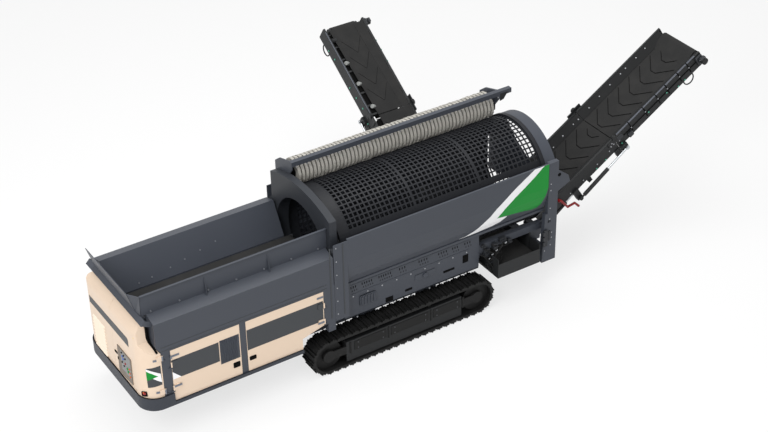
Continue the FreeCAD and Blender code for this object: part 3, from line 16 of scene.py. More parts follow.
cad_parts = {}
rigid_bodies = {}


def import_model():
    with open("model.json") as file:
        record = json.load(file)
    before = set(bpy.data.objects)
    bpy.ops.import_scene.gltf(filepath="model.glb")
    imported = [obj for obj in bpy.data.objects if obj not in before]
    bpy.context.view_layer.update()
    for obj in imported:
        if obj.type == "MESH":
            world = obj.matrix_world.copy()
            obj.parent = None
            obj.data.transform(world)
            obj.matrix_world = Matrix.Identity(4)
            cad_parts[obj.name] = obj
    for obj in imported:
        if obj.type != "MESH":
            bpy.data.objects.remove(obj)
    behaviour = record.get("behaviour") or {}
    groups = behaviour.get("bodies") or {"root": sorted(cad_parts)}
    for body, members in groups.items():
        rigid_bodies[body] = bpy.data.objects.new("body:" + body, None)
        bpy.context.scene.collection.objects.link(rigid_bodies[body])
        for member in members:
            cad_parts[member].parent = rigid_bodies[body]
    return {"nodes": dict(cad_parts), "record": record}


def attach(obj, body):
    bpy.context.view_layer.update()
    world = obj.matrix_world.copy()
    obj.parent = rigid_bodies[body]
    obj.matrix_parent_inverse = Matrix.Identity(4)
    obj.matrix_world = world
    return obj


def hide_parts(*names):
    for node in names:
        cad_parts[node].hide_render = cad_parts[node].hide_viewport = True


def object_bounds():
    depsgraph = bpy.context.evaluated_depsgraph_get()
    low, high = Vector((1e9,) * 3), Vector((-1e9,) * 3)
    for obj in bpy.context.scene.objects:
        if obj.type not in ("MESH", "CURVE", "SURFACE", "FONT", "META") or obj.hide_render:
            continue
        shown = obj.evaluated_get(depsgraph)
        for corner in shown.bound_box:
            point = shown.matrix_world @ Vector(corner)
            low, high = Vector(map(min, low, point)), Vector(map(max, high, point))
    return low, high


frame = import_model()
cad_low, cad_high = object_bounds()

SHIFT = Vector((-6.73, -2.0, 0.0))
REAR_FOOT, REAR_TILT = (9.45, 1.424), math.radians(32.0)
SIDE_FOOT, SIDE_TILT, SIDE_X = (1.45, 0.98), math.radians(33.6), 8.22
REAR_HALF, REAR_LENGTH, REAR_FOLD = 0.65, 4.5, 2.0
SIDE_HALF, SIDE_LENGTH, SIDE_FOLD = 0.515, 4.49, 2.25
FOLD_SLOT = 0.016
BEAM_THICK, WING_TOP = 0.046, 0.045
REAR_FLAT, SIDE_FLAT = 0.434, 0.299
REAR_BELT_HALF, REAR_LOW = 0.494, -0.09
RECESS_START, RECESS_FLOOR = 0.75, -0.06
BELT_THICK, BELT_LEAN = 0.009, math.radians(15.0)
SKIRT_THICK, SKIRT_GAP, SKIRT_LIFT = 0.006, 0.01, 0.007
ROLL_R, TAIL_ROLL_S = 0.105, -0.165
REAR_RIB_PITCH, SIDE_RIB_PITCH = 0.322, 0.42

BODY_SIDE = -1.25
HOOD_FACE = 0.03
HOOD_CORNER = 0.35
DRUM_Z, DRUM_R = 2.237, 1.1
BRUSH_Y, BRUSH_Z = 0.8, 3.367
SCREEN_ENDS, SCREEN_WALL, BRUSH_ENDS = (4.58, 9.01), 0.012, (4.36, 8.96)
TUFT_PITCH = 0.085
PROUD = 0.002
SILL_Y, TRACK_FACE = -1.0755, -1.246
OUTLET_X, OUTLET_R = 9.33, 1.085

PHOTO_WIDTH, SENSOR_WIDTH = 768.0, 36.0
FOCAL_PIXELS = 1717.27
CAMERA_SPOT, CAMERA_TURN = (-8.89716, -23.79614, 20.88488), (-31.912, 33.691, -1.214)
SKY_ON_OBJECT, FLOOR_GLOW, FLOOR_HALF = 0.62, 0.72, 120.0
LAMPS = (("key", (-9.0, -9.0, 15.0), 2000.0, 9.0), ("top", (6.0, 1.0, 18.0), 2000.0, 14.0))
OUTWARD = Vector((0, -1, 0))


def here(x, y, z):
    """A point of the machine's own frame."""
    return Vector((x, y, z)) + SHIFT


def on_rear(s, w, h):
    """A point of the rear conveyor's frame."""
    c, d = math.cos(REAR_TILT), math.sin(REAR_TILT)
    return here(REAR_FOOT[0] + s * c - h * d, w, REAR_FOOT[1] + s * d + h * c)


def on_side(s, w, h):
    """A point of the side conveyor's frame; w runs towards the machine's front."""
    c, d = math.cos(SIDE_TILT), math.sin(SIDE_TILT)
    return here(SIDE_X - w, SIDE_FOOT[0] + s * c - h * d, SIDE_FOOT[1] + s * d + h * c)


def heading(place, s, w, h):
    """A direction of a conveyor's frame."""
    return place(s, w, h) - place(0, 0, 0)


def put(name, mesh, body, finish=None):
    """A finished mesh as a piece that rides on a body; finish is a name in FINISH."""
    mesh.name = name
    obj = bpy.data.objects.new(name, mesh)
    bpy.context.scene.collection.objects.link(obj)
    if finish is not None:
        mesh.materials.clear()
        mesh.materials.append(FINISH[finish])
    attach(obj, body)
    return obj


def mesh_of(build):
    """A mesh made by a function that fills a bmesh."""
    bm = bmesh.new()
    build(bm)
    bmesh.ops.recalc_face_normals(bm, faces=bm.faces)
    mesh = bpy.data.meshes.new("shape")
    bm.to_mesh(mesh)
    bm.free()
    return mesh


def piece(name, build, body, finish):
    """A piece whose mesh a function fills in."""
    return put(name, mesh_of(build), body, finish)


def shell(bm, rings, closed=False):
    """Skin over rows of points that all have the same count."""
    rows = [[bm.verts.new(p) for p in ring] for ring in rings]
    for a, b in zip(rows, rows[1:] + (rows[:1] if closed else [])):
        for i in range(len(a)):
            j = (i + 1) % len(a)
            bm.faces.new((a[i], a[j], b[j], b[i]))
    if not closed:
        bm.faces.new(rows[0])
        bm.faces.new(rows[-1])


def slab(bm, points, step):
    """Plate over an outline of points, thickened by a vector."""
    shell(bm, [points, [p + step for p in points]])


def block(bm, low, high, place=here, bevel=0.0):
    """Block between two corners of a frame, with its edges taken off."""
    (x0, y0, z0), (x1, y1, z1) = low, high
    c = min(bevel, (x1 - x0) / 3, (y1 - y0) / 3, (z1 - z0) / 3)
    rings = []
    for z, inset in ((z0, c), (z0 + c, 0), (z1 - c, 0), (z1, c)) if c else ((z0, 0), (z1, 0)):
        a, b = inset, c
        ring = [(x0 + a + b, y0 + a), (x1 - a - b, y0 + a), (x1 - a, y0 + a + b), (x1 - a, y1 - a - b),
                (x1 - a - b, y1 - a), (x0 + a + b, y1 - a), (x0 + a, y1 - a - b), (x0 + a, y0 + a + b)]
        if not c:
            ring = [(x0, y0), (x1, y0), (x1, y1), (x0, y1)]
        rings.append([place(x, y, z) for x, y in ring])
    shell(bm, rings)


def blocks(name, boxes, body, finish, place=here):
    """A piece made of blocks, each given as two corners and a bevel."""
    def build(bm):
        for low, high, bevel in boxes:
            block(bm, low, high, place, bevel)
    piece(name, build, body, finish)


def tube(bm, path, radius, sides=12):
    """Round bar along straight runs between points; radius is one value or one per point."""
    radii = radius if isinstance(radius, (list, tuple)) else [radius] * len(path)
    rings = []
    for i, p in enumerate(path):
        before, after = path[max(i - 1, 0)], path[min(i + 1, len(path) - 1)]
        along = (after - before).normalized()
        aside = along.orthogonal() if i == 0 else aside - along * aside.dot(along)
        aside.normalize()
        up = along.cross(aside)
        rings.append([p + (aside * math.cos(a) + up * math.sin(a)) * radii[i]
                      for a in (2 * math.pi * k / sides for k in range(sides))])
    shell(bm, rings)


def lathe(bm, profile, centre, axis, sides=64):
    """Closed profile of (along, radius) points turned round an axis."""
    aside = axis.orthogonal().normalized()
    up = axis.cross(aside)
    rings = []
    for k in range(sides):
        a = 2 * math.pi * k / sides
        out = aside * math.cos(a) + up * math.sin(a)
        rings.append([centre + axis * t + out * r for t, r in profile])
    shell(bm, rings, closed=True)


def shader_node(nodes, links, kind, wires=(), **values):
    """A shader node with its values set and its inputs wired."""
    made = nodes.new("ShaderNode" + kind)
    for key, value in values.items():
        made.inputs[key.replace("_", " ")].default_value = value
    for key, source in wires:
        links.new(source, made.inputs[key])
    return made


def surface(name, colour, rough, metal=0.0, spread=0.06, patch=0.9, grain=240.0, relief=0.04,
            shine=0.5, dust=0.0):
    """A finish with cloudy shade, uneven gloss and a fine grain."""
    material = bpy.data.materials.new(name)
    material.use_nodes = True
    nodes, links = material.node_tree.nodes, material.node_tree.links
    shader = nodes["Principled BSDF"]
    shader.inputs["Metallic"].default_value = metal
    shader.inputs["Specular IOR Level"].default_value = shine
    place = nodes.new("ShaderNodeTexCoord").outputs["Object"]
    clouds = shader_node(nodes, links, "TexNoise", [("Vector", place)], Scale=patch, Detail=6.0)
    shade = nodes.new("ShaderNodeMix")
    shade.data_type = "RGBA"
    shade.inputs["A"].default_value = [c * (1 - spread) for c in colour] + [1]
    shade.inputs["B"].default_value = [c * (1 + spread) for c in colour] + [1]
    links.new(clouds.outputs["Fac"], shade.inputs["Factor"])
    speck = shader_node(nodes, links, "TexNoise", [("Vector", place)], Scale=grain, Detail=3.0)
    colour_out = shade.outputs["Result"]
    if dust:
        colour_out = dusted(nodes, links, colour_out, place, dust)
    links.new(colour_out, shader.inputs["Base Color"])
    gloss = shader_node(nodes, links, "MapRange", [("Value", clouds.outputs["Fac"])],
                        To_Min=rough * 0.8, To_Max=min(1.0, rough * 1.2))
    links.new(gloss.outputs["Result"], shader.inputs["Roughness"])
    bump = shader_node(nodes, links, "Bump", [("Height", speck.outputs["Fac"])], Strength=relief,
                       Distance=0.002)
    links.new(bump.outputs["Normal"], shader.inputs["Normal"])
    return material


def dusted(nodes, links, colour, place, amount):
    """Pale dust in soft patches over a colour."""
    patches = shader_node(nodes, links, "TexNoise", [("Vector", place)], Scale=3.5, Detail=8.0)
    cover = shader_node(nodes, links, "MapRange", [("Value", patches.outputs["Fac"])],
                        From_Min=0.42, From_Max=0.75, To_Max=amount)
    mix = nodes.new("ShaderNodeMix")
    mix.data_type = "RGBA"
    mix.inputs["B"].default_value = (0.16, 0.15, 0.14, 1)
    links.new(cover.outputs["Result"], mix.inputs["Factor"])
    links.new(colour, mix.inputs["A"])
    return mix.outputs["Result"]


FINISH = {
    "anthracite": surface("anthracite_paint", (0.048, 0.054, 0.068), 0.45, spread=0.07, shine=0.32),
    "beige": surface("beige_paint", (0.735, 0.58, 0.445), 0.38, spread=0.03, shine=0.4),
    # Lighter, yellower copy of the beige for the louvre slats: painted highlight on their lit faces.
    "lit_slat_beige": surface("slat_painted_highlight", (0.92, 0.8, 0.66), 0.38, spread=0.03, shine=0.4),
    # Darkened copy of the anthracite for the bumper: painted shade.
    "bumper": surface("bumper_painted_shade", (0.034, 0.039, 0.05), 0.45, spread=0.07, shine=0.28),
    # Copy of the anthracite darkened further for the inlet arch: painted shade.
    "arch": surface("arch_painted_shade", (0.026, 0.029, 0.035), 0.5, spread=0.08, shine=0.22),
    "black": surface("black_paint", (0.017, 0.018, 0.019), 0.5, spread=0.12, shine=0.25),
    "steel": surface("dull_steel", (0.075, 0.078, 0.085), 0.55, metal=0.5, spread=0.2, patch=3.0),
    "strap": surface("strap_steel", (0.17, 0.19, 0.23), 0.45, metal=0.5, spread=0.2, patch=12.0),
    "drum": surface("drum_paint", (0.01, 0.011, 0.014), 0.5, spread=0.15, patch=2.0, shine=0.25),
    "engine": surface("cast_engine", (0.05, 0.05, 0.055), 0.6, spread=0.2, grain=90.0, relief=0.4),
    "belt": surface("belt_rubber", (0.02, 0.02, 0.02), 0.8, spread=0.2, patch=2.5, grain=150.0,
                    relief=0.25, shine=0.18, dust=0.04),
    "skirt": surface("skirt_rubber", (0.014, 0.0145, 0.015), 0.75, spread=0.2, patch=2.0, shine=0.2),
    "rail": surface("rail_paint", (0.075, 0.082, 0.1), 0.45, spread=0.06, shine=0.3),
    "motor": surface("motor_paint", (0.022, 0.024, 0.028), 0.42, spread=0.15, patch=6.0, shine=0.3),
    "cleat": surface("cleat_rubber", (0.006, 0.006, 0.006), 0.8, spread=0.2, patch=4.0, shine=0.1),
    "bristle": surface("bristle_nylon", (0.42, 0.405, 0.37), 0.7, spread=0.18, patch=9.0, grain=400.0,
                       relief=0.3, shine=0.2),
    "track": surface("track_steel", (0.011, 0.011, 0.011), 0.55, metal=0.2, spread=0.35, patch=6.0,
                     grain=60.0, relief=0.3, shine=0.25),
    "chrome": surface("chrome_rod", (0.62, 0.64, 0.66), 0.16, metal=1.0, spread=0.03),
    "rivet": surface("painted_bolt", (0.16, 0.17, 0.19), 0.4, metal=0.3, spread=0.2, patch=30.0),
    "bolt": surface("zinc_bolt", (0.36, 0.37, 0.39), 0.4, metal=0.5, spread=0.2, patch=30.0),
    "white": surface("white_stripe", (0.86, 0.86, 0.87), 0.35, spread=0.02, shine=0.3),
    "green": surface("green_stripe", (0.003, 0.235, 0.026), 0.4, spread=0.05, shine=0.2),
    # Grey of the real two-tone bands; also used for the dark strips that are painted shade at gaps and
    # creases.
    "band": surface("grey_band_and_painted_shade", (0.043, 0.047, 0.052), 0.45, spread=0.05, shine=0.3),
    # Near-black for black parts, and on slots and holes painted shade inside the openings.
    "slot": surface("black_and_opening_shade", (0.003, 0.003, 0.003), 0.8, spread=0.2, shine=0.08),
    "red": surface("red_bar", (0.27, 0.008, 0.01), 0.4, spread=0.1, shine=0.4),
    "yellow": surface("yellow_mark", (0.75, 0.5, 0.01), 0.4, spread=0.05),
    "orange": surface("orange_lens", (0.6, 0.12, 0.01), 0.3, spread=0.1),
    "blue": surface("blue_mark", (0.05, 0.12, 0.45), 0.4, spread=0.1),
    "teal": surface("teal_cap", (0.09, 0.38, 0.26), 0.45, spread=0.1, patch=20.0),
    "pale": surface("pale_disc", (0.3, 0.31, 0.3), 0.5, spread=0.12, patch=12.0),
    "panel": surface("panel_grey", (0.22, 0.225, 0.225), 0.5, spread=0.15, patch=9.0),
    # Beige darkened to a taupe for the control window's frame: painted shade of its sunk recess.
    "recess_shade": surface("window_recess_shade", (0.165, 0.13, 0.1), 0.5, spread=0.15, patch=5.0),
    "hose": surface("hose_rubber", (0.008, 0.008, 0.008), 0.6, spread=0.2, patch=10.0, shine=0.2),
}

SLOT_FINISH = {
    "anthracite": "anthracite", "beige": "beige", "conveyor_black": "black", "dark_steel": "steel",
    "drum_steel": "drum", "engine": "engine", "belt": "belt", "bristle": "bristle",
    "track_steel": "track", "chrome_rod": "chrome",
}
# The bumper and the inlet arch take darkened copies of the anthracite: painted shade.
NODE_FINISH = {"base_pan": "bumper", "inlet_arch": "arch"}


def dress_solids():
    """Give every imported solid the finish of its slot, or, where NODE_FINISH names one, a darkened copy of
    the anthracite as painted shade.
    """
    for sub in frame["record"]["subparts"]:
        finish = FINISH[NODE_FINISH.get(sub["node"], SLOT_FINISH[sub["material_slot"]])]
        node = frame["nodes"][sub["node"]]
        node.data.materials.clear()
        node.data.materials.append(finish)


class Maker:
    """A node tree for repeated shapes, with named inputs for its sizes."""

    def __init__(self, name, sizes):
        self.tree = bpy.data.node_groups.new(name, "GeometryNodeTree")
        face = self.tree.interface
        face.new_socket("Geometry", in_out="INPUT", socket_type="NodeSocketGeometry")
        for label, kind in sizes:
            face.new_socket(label, in_out="INPUT", socket_type="NodeSocket" + kind)
        face.new_socket("Finish", in_out="INPUT", socket_type="NodeSocketMaterial")
        face.new_socket("Geometry", in_out="OUTPUT", socket_type="NodeSocketGeometry")
        self.given = self.tree.nodes.new("NodeGroupInput")
        self.ids = {s.name: s.identifier for s in face.items_tree if s.in_out == "INPUT"}

    def node(self, kind, settings=None, **wires):
        """A node; each wire is a value or another node's output."""
        made = self.tree.nodes.new(kind)
        for key, value in (settings or {}).items():
            setattr(made, key, value)
        for key, value in wires.items():
            self.wire(made, key.replace("_", " "), value)
        return made

    def wire(self, made, key, value):
        socket = made.inputs[int(key[1:])] if key[0] == "i" and key[1:].isdigit() else made.inputs[key]
        if isinstance(value, bpy.types.NodeSocket):
            self.tree.links.new(value, socket)
        else:
            socket.default_value = value

    def maths(self, operation, a, b=0.0):
        return self.node("ShaderNodeMath", {"operation": operation}, i0=a, i1=b).outputs[0]

    def end(self, geometry):
        """Close the tree: real geometry with its material."""
        real = self.node("GeometryNodeRealizeInstances", Geometry=geometry)
        paint = self.node("GeometryNodeSetMaterial", Geometry=real.outputs[0],
                          Material=self.given.outputs["Finish"])
        out = self.tree.nodes.new("NodeGroupOutput")
        self.tree.links.new(paint.outputs[0], out.inputs[0])
        return self

    def bake(self, finish, base=None, **sizes):
        """The tree's result for these sizes, as a plain mesh."""
        seed = base or bpy.data.meshes.new("seed")
        holder = bpy.data.objects.new("holder", seed)
        bpy.context.scene.collection.objects.link(holder)
        modifier = holder.modifiers.new("shape", "NODES")
        modifier.node_group = self.tree
        modifier[self.ids["Finish"]] = FINISH[finish]
        for label, value in sizes.items():
            modifier[self.ids[label.replace("_", " ")]] = value
        graph = bpy.context.evaluated_depsgraph_get()
        mesh = bpy.data.meshes.new_from_object(holder.evaluated_get(graph))
        bpy.data.objects.remove(holder)
        return mesh


def screen_maker():
    """Round screen of square holes: a grid whose cells are opened, then rolled up."""
    m = Maker("screen_cage", [("Length", "Float"), ("Radius", "Float"), ("Cells along", "Int"),
                              ("Cells round", "Int"), ("Open share", "Float"), ("Solid every", "Int")])
    g = m.given.outputs
    grid = m.node("GeometryNodeMeshGrid", Size_X=g["Length"], Size_Y=2 * math.pi,
                  Vertices_X=m.maths("ADD", g["Cells along"], 1.0),
                  Vertices_Y=m.maths("ADD", g["Cells round"], 1.0))
    index = m.node("GeometryNodeInputIndex").outputs[0]
    row = m.maths("MODULO", index, g["Cells round"])
    seam = m.maths("MODULO", row, g["Solid every"])
    is_open = m.node("FunctionNodeCompare", {"data_type": "FLOAT", "operation": "GREATER_THAN"},
                     A=seam, B=0.5)
    opened = m.node("GeometryNodeExtrudeMesh", {"mode": "FACES"}, Mesh=grid.outputs[0],
                    Selection=is_open.outputs[0], Offset_Scale=0.0, Individual=True)
    shrunk = m.node("GeometryNodeScaleElements", {"domain": "FACE"}, Geometry=opened.outputs["Mesh"],
                    Selection=opened.outputs["Top"], Scale=g["Open share"])
    bars = m.node("GeometryNodeDeleteGeometry", {"domain": "FACE", "mode": "ALL"},
                  Geometry=shrunk.outputs[0], Selection=opened.outputs["Top"])
    spot = m.node("GeometryNodeInputPosition").outputs[0]
    flat = m.node("ShaderNodeSeparateXYZ", Vector=spot).outputs
    rolled = m.node("ShaderNodeCombineXYZ", X=flat["X"],
                    Y=m.maths("MULTIPLY", m.maths("SINE", flat["Y"]), g["Radius"]),
                    Z=m.maths("MULTIPLY", m.maths("COSINE", flat["Y"]), g["Radius"]))
    tube_form = m.node("GeometryNodeSetPosition", Geometry=bars.outputs[0], Position=rolled.outputs[0])
    whole = m.node("GeometryNodeMergeByDistance", Geometry=tube_form.outputs[0], Distance=0.0005)
    return m.end(whole.outputs[0])


def tuft_maker():
    """Rings of stiff bristle tufts along X, each ring turned by its own amount."""
    m = Maker("brush_rings", [("Rings", "Int"), ("Pitch", "Float"), ("Core radius", "Float"),
                              ("Tuft length", "Float"), ("Tuft width", "Float"), ("Tufts", "Int"),
                              ("Seed", "Int")])
    g = m.given.outputs
    tuft = m.node("GeometryNodeMeshCone", {"fill_type": "NGON"}, Vertices=6, Side_Segments=1,
                  Fill_Segments=1, Radius_Top=g["Tuft width"],
                  Radius_Bottom=m.maths("MULTIPLY", g["Tuft width"], 0.55), Depth=g["Tuft length"])
    circle = m.node("GeometryNodeMeshCircle", Vertices=g["Tufts"], Radius=g["Core radius"])
    out = m.node("GeometryNodeInputPosition").outputs[0]
    aim = m.node("FunctionNodeAlignRotationToVector", {"axis": "Z"}, Vector=out)
    long_or_short = m.node("FunctionNodeRandomValue", {"data_type": "FLOAT"}, Min=0.9, Max=1.0,
                           Seed=g["Seed"])
    size = m.node("ShaderNodeCombineXYZ", X=1.0, Y=1.0)
    m.wire(size, "Z", [s for s in long_or_short.outputs if s.enabled][0])
    flat_ring = m.node("GeometryNodeInstanceOnPoints", Points=circle.outputs[0], Instance=tuft.outputs[0],
                       Rotation=aim.outputs[0], Scale=size.outputs[0])
    upright = m.node("ShaderNodeCombineXYZ", Y=math.pi / 2)
    ring = m.node("GeometryNodeTransform", Geometry=flat_ring.outputs[0], Rotation=upright.outputs[0])
    line = m.node("GeometryNodeMeshLine", {"mode": "OFFSET"}, Count=g["Rings"],
                  Offset=m.node("ShaderNodeCombineXYZ", X=g["Pitch"]).outputs[0])
    spin = m.node("FunctionNodeRandomValue", {"data_type": "FLOAT"}, Min=0.0, Max=6.2832,
                  Seed=m.maths("ADD", g["Seed"], 7.0))
    turn = m.node("ShaderNodeCombineXYZ")
    m.wire(turn, "X", [s for s in spin.outputs if s.enabled][0])
    rings = m.node("GeometryNodeInstanceOnPoints", Points=line.outputs[0], Instance=ring.outputs[0],
                   Rotation=turn.outputs[0])
    return m.end(rings.outputs[0])


def stud_maker():
    """A bolt head on every point of the base mesh, facing the point's 'facing' vector."""
    m = Maker("studs", [("Head radius", "Float"), ("Head height", "Float")])
    g = m.given.outputs
    head = m.node("GeometryNodeMeshCylinder", {"fill_type": "NGON"}, Vertices=6, Side_Segments=1,
                  Fill_Segments=1, Radius=g["Head radius"], Depth=g["Head height"])
    facing = m.node("GeometryNodeInputNamedAttribute", {"data_type": "FLOAT_VECTOR"}, Name="facing")
    aim = m.node("FunctionNodeAlignRotationToVector", {"axis": "Z"}, Vector=facing.outputs[0])
    heads = m.node("GeometryNodeInstanceOnPoints", Points=g["Geometry"], Instance=head.outputs[0],
                   Rotation=aim.outputs[0])
    return m.end(heads.outputs[0])


def row_maker():
    """Copies of the base mesh at equal steps along a direction."""
    m = Maker("rows", [("Count", "Int"), ("Step", "Vector")])
    g = m.given.outputs
    line = m.node("GeometryNodeMeshLine", {"mode": "OFFSET"}, Count=g["Count"], Offset=g["Step"])
    copies = m.node("GeometryNodeInstanceOnPoints", Points=line.outputs[0], Instance=g["Geometry"])
    return m.end(copies.outputs[0])


SCREEN = screen_maker()
TUFTS = tuft_maker()
STUDS = stud_maker()
ROWS = row_maker()


def studs(name, spots, body, slot="dark_steel", radius=0.012, height=0.012, finish="bolt"):
    """Bolt heads at spots, each a place and the way that its head faces."""
    mesh = bpy.data.meshes.new("spots")
    mesh.from_pydata([place for place, _ in spots], [], [])
    store = mesh.attributes.new("facing", "FLOAT_VECTOR", "POINT")
    for i, (_, way) in enumerate(spots):
        store.data[i].vector = way
    made = STUDS.bake(finish, base=mesh, Head_radius=radius, Head_height=height)
    return put(name, made, body)


def row(start, end, pitch, way):
    """Spots at equal steps from one place to another."""
    count = max(1, round((end - start).length / pitch))
    return [(start.lerp(end, i / count), way) for i in range(count + 1)]


def make_camera():
    """The photograph's view."""
    azimuth, elevation, roll = (math.radians(v) for v in CAMERA_TURN)
    back = Vector((math.sin(azimuth) * math.cos(elevation), -math.cos(azimuth) * math.cos(elevation),
                   math.sin(elevation)))
    level = (-back).cross(Vector((0, 0, 1))).normalized()
    upright = level.cross(-back)
    aside = level * math.cos(roll) + upright * math.sin(roll)
    top = upright * math.cos(roll) - level * math.sin(roll)
    data = bpy.data.cameras.new("camera")
    data.sensor_width = SENSOR_WIDTH
    data.lens = FOCAL_PIXELS * SENSOR_WIDTH / PHOTO_WIDTH
    data.clip_end = 500.0
    camera = bpy.data.objects.new("camera", data)
    camera.matrix_world = Matrix.Translation(here(*CAMERA_SPOT)) @ \
        Matrix((aside, top, back)).transposed().to_4x4()
    bpy.context.scene.collection.objects.link(camera)
    bpy.context.scene.camera = camera


def make_sky():
    """Even white sky, at a lower level where it lights the object than where it is seen."""
    world = bpy.data.worlds.new("studio")
    bpy.context.scene.world = world
    world.use_nodes = True
    nodes, links = world.node_tree.nodes, world.node_tree.links
    path = nodes.new("ShaderNodeLightPath")
    seen = path.outputs["Is Camera Ray"]
    for ray in ("Is Glossy Ray", "Is Transmission Ray"):
        either = nodes.new("ShaderNodeMath")
        either.operation = "MAXIMUM"
        links.new(seen, either.inputs[0])
        links.new(path.outputs[ray], either.inputs[1])
        seen = either.outputs[0]
    level = nodes.new("ShaderNodeMapRange")
    level.inputs["To Min"].default_value = SKY_ON_OBJECT
    level.inputs["To Max"].default_value = 1.0
    links.new(seen, level.inputs["Value"])
    nodes["Background"].inputs["Color"].default_value = (1, 1, 1, 1)
    links.new(level.outputs["Result"], nodes["Background"].inputs["Strength"])


def make_lamps():
    """Two soft lamps: one over the front, one high above the drum."""
    for name, spot, energy, size in LAMPS:
        data = bpy.data.lights.new(name, "AREA")
        data.energy = energy
        data.size = size
        lamp = bpy.data.objects.new(name, data)
        lamp.location = here(*spot)
        aim = here(5.5, 0.5, 1.0) - lamp.location
        lamp.rotation_euler = aim.to_track_quat("-Z", "Y").to_euler()
        bpy.context.scene.collection.objects.link(lamp)


def make_floor():
    """White floor that keeps the shadow, a little brighter to the camera than its paint is."""
    material = bpy.data.materials.new("floor")
    material.use_nodes = True
    nodes, links = material.node_tree.nodes, material.node_tree.links
    shader = nodes["Principled BSDF"]
    shader.inputs["Base Color"].default_value = (0.86, 0.86, 0.86, 1)
    shader.inputs["Roughness"].default_value = 0.9
    glow = nodes.new("ShaderNodeEmission")
    glow.inputs["Strength"].default_value = 1.0
    path = nodes.new("ShaderNodeLightPath")
    share = nodes.new("ShaderNodeMath")
    share.operation = "MULTIPLY"
    share.inputs[1].default_value = FLOOR_GLOW
    mix = nodes.new("ShaderNodeMixShader")
    for source, target in ((path.outputs["Is Camera Ray"], share.inputs[0]),
                           (share.outputs[0], mix.inputs[0]), (shader.outputs[0], mix.inputs[1]),
                           (glow.outputs[0], mix.inputs[2]),
                           (mix.outputs[0], nodes["Material Output"].inputs["Surface"])):
        links.new(source, target)
    mesh = bpy.data.meshes.new("floor")
    r, z = FLOOR_HALF, cad_low.z - 0.0005
    mesh.from_pydata([(-r, -r, z), (r, -r, z), (r, r, z), (-r, r, z)], [], [(0, 1, 2, 3)])
    mesh.materials.append(material)
    floor = bpy.data.objects.new("floor", mesh)
    bpy.context.scene.collection.objects.link(floor)


def make_drum():
    """See-through drum: a screen of square holes between two stiff rings."""
    x0, x1 = SCREEN_ENDS
    cage = SCREEN.bake("drum", Length=x1 - x0, Radius=DRUM_R, Cells_along=44, Cells_round=69,
                       Open_share=0.7, Solid_every=23)
    cage.transform(Matrix.Translation(here((x0 + x1) / 2, 0, DRUM_Z)))
    screen = put("drum_screen", cage, "drum_body")
    wall = screen.modifiers.new("wall", "SOLIDIFY")
    wall.thickness = SCREEN_WALL
    wall.offset = -1.0
    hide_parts("drum", "drum_rear_ring")

    def rings(bm):
        axis = Vector((1, 0, 0))
        centre = here(0, 0, DRUM_Z)
        lathe(bm, [(4.35, 1.04), (4.35, 1.096), (4.356, 1.1), (4.574, 1.1), (4.584, 1.096),
                   (4.584, 1.066), (4.372, 1.066), (4.372, 1.04)], centre, axis, 96)
        lathe(bm, [(9.0, 1.066), (9.0, 1.096), (9.012, 1.1), (9.016, 1.131), (9.02, 1.135),
                   (9.094, 1.135), (9.1, 1.131), (9.1, 1.066)], centre, axis, 96)
        for x in (6.05, 7.55):
            lathe(bm, [(x, 1.078), (x, 1.101), (x + 0.05, 1.101), (x + 0.05, 1.078)], centre, axis, 96)
    piece("drum_rings", rings, "drum_body", "drum")


def make_outlet_looks():
    """Plate across the far part of the outlet, and the far bay's panel, both seen through the mesh."""
    def plate(bm):
        far = [(OUTLET_R * math.sin(a), DRUM_Z + OUTLET_R * math.cos(a))
               for a in (math.radians(v) for v in range(42, 80, 6))]
        outline = far + [(1.235, 2.44), (1.235, 1.5), (0.82, 1.5), (0.82, 1.6), (-0.3, 1.6),
                         (-0.42, 2.2), (-0.155, 2.384), (0.3, 2.65)]
        slab(bm, [here(OUTLET_X, y, z) for y, z in outline], Vector((0.008, 0, 0)))
    piece("outlet_plate", plate, "machine", "anthracite")

    def panel(bm):
        foot, bend, head = (1.072, 1.35), (1.072, 1.5), (1.215, 2.05)
        slab(bm, [here(7.62, y, z) for y, z in (foot, bend, head)]
             + [here(7.62, y + 0.006, z) for y, z in (head, bend, foot)], Vector((1.37, 0, 0)))
    piece("far_bay_panel", panel, "machine", "anthracite")


def make_brush():
    """Round brush: a core with rings of bristle tufts, on its shaft."""
    x0, x1 = BRUSH_ENDS
    count = int((x1 - x0 - 0.06) / TUFT_PITCH) + 1
    tufts = TUFTS.bake("bristle", Rings=count, Pitch=TUFT_PITCH, Core_radius=0.106, Tuft_length=0.172,
                       Tuft_width=0.034, Tufts=40, Seed=4)
    tufts.transform(Matrix.Translation(here(x0 + 0.035, BRUSH_Y, BRUSH_Z)))
    rings = put("brush_tufts", tufts, "brush_body")
    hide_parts("brush")

    def core(bm):
        lathe(bm, [(4.202, 0.0005), (4.202, 0.03), (4.355, 0.03), (4.355, 0.115), (4.36, 0.12),
                   (8.955, 0.12), (8.96, 0.115), (8.96, 0.03), (9.048, 0.03), (9.048, 0.0005)],
              here(0, BRUSH_Y, BRUSH_Z), Vector((1, 0, 0)), 32)
    piece("brush_core", core, "brush_body", "slot")


def cleat(bm, s, reach, tip, depth, width, height, base, place):
    """V-shaped rib across a belt, with a short flat tip towards the tail."""
    rings = []
    for w, back in ((-reach, depth), (-tip, 0.0), (tip, 0.0), (reach, depth)):
        at = s + back
        rings.append([place(at - width / 2, w, base - 0.004), place(at + width / 2, w, base - 0.004),
                      place(at + width / 4, w, base + height), place(at - width / 4, w, base + height)])
    shell(bm, rings)


def cleats(name, body, first, count, pitch, place, **look):
    """V-shaped ribs at equal steps along a belt."""
    one = mesh_of(lambda bm: cleat(bm, first, place=place, **look))
    made = ROWS.bake("cleat", base=one, Count=count, Step=heading(place, pitch, 0, 0))
    put(name, made, body)


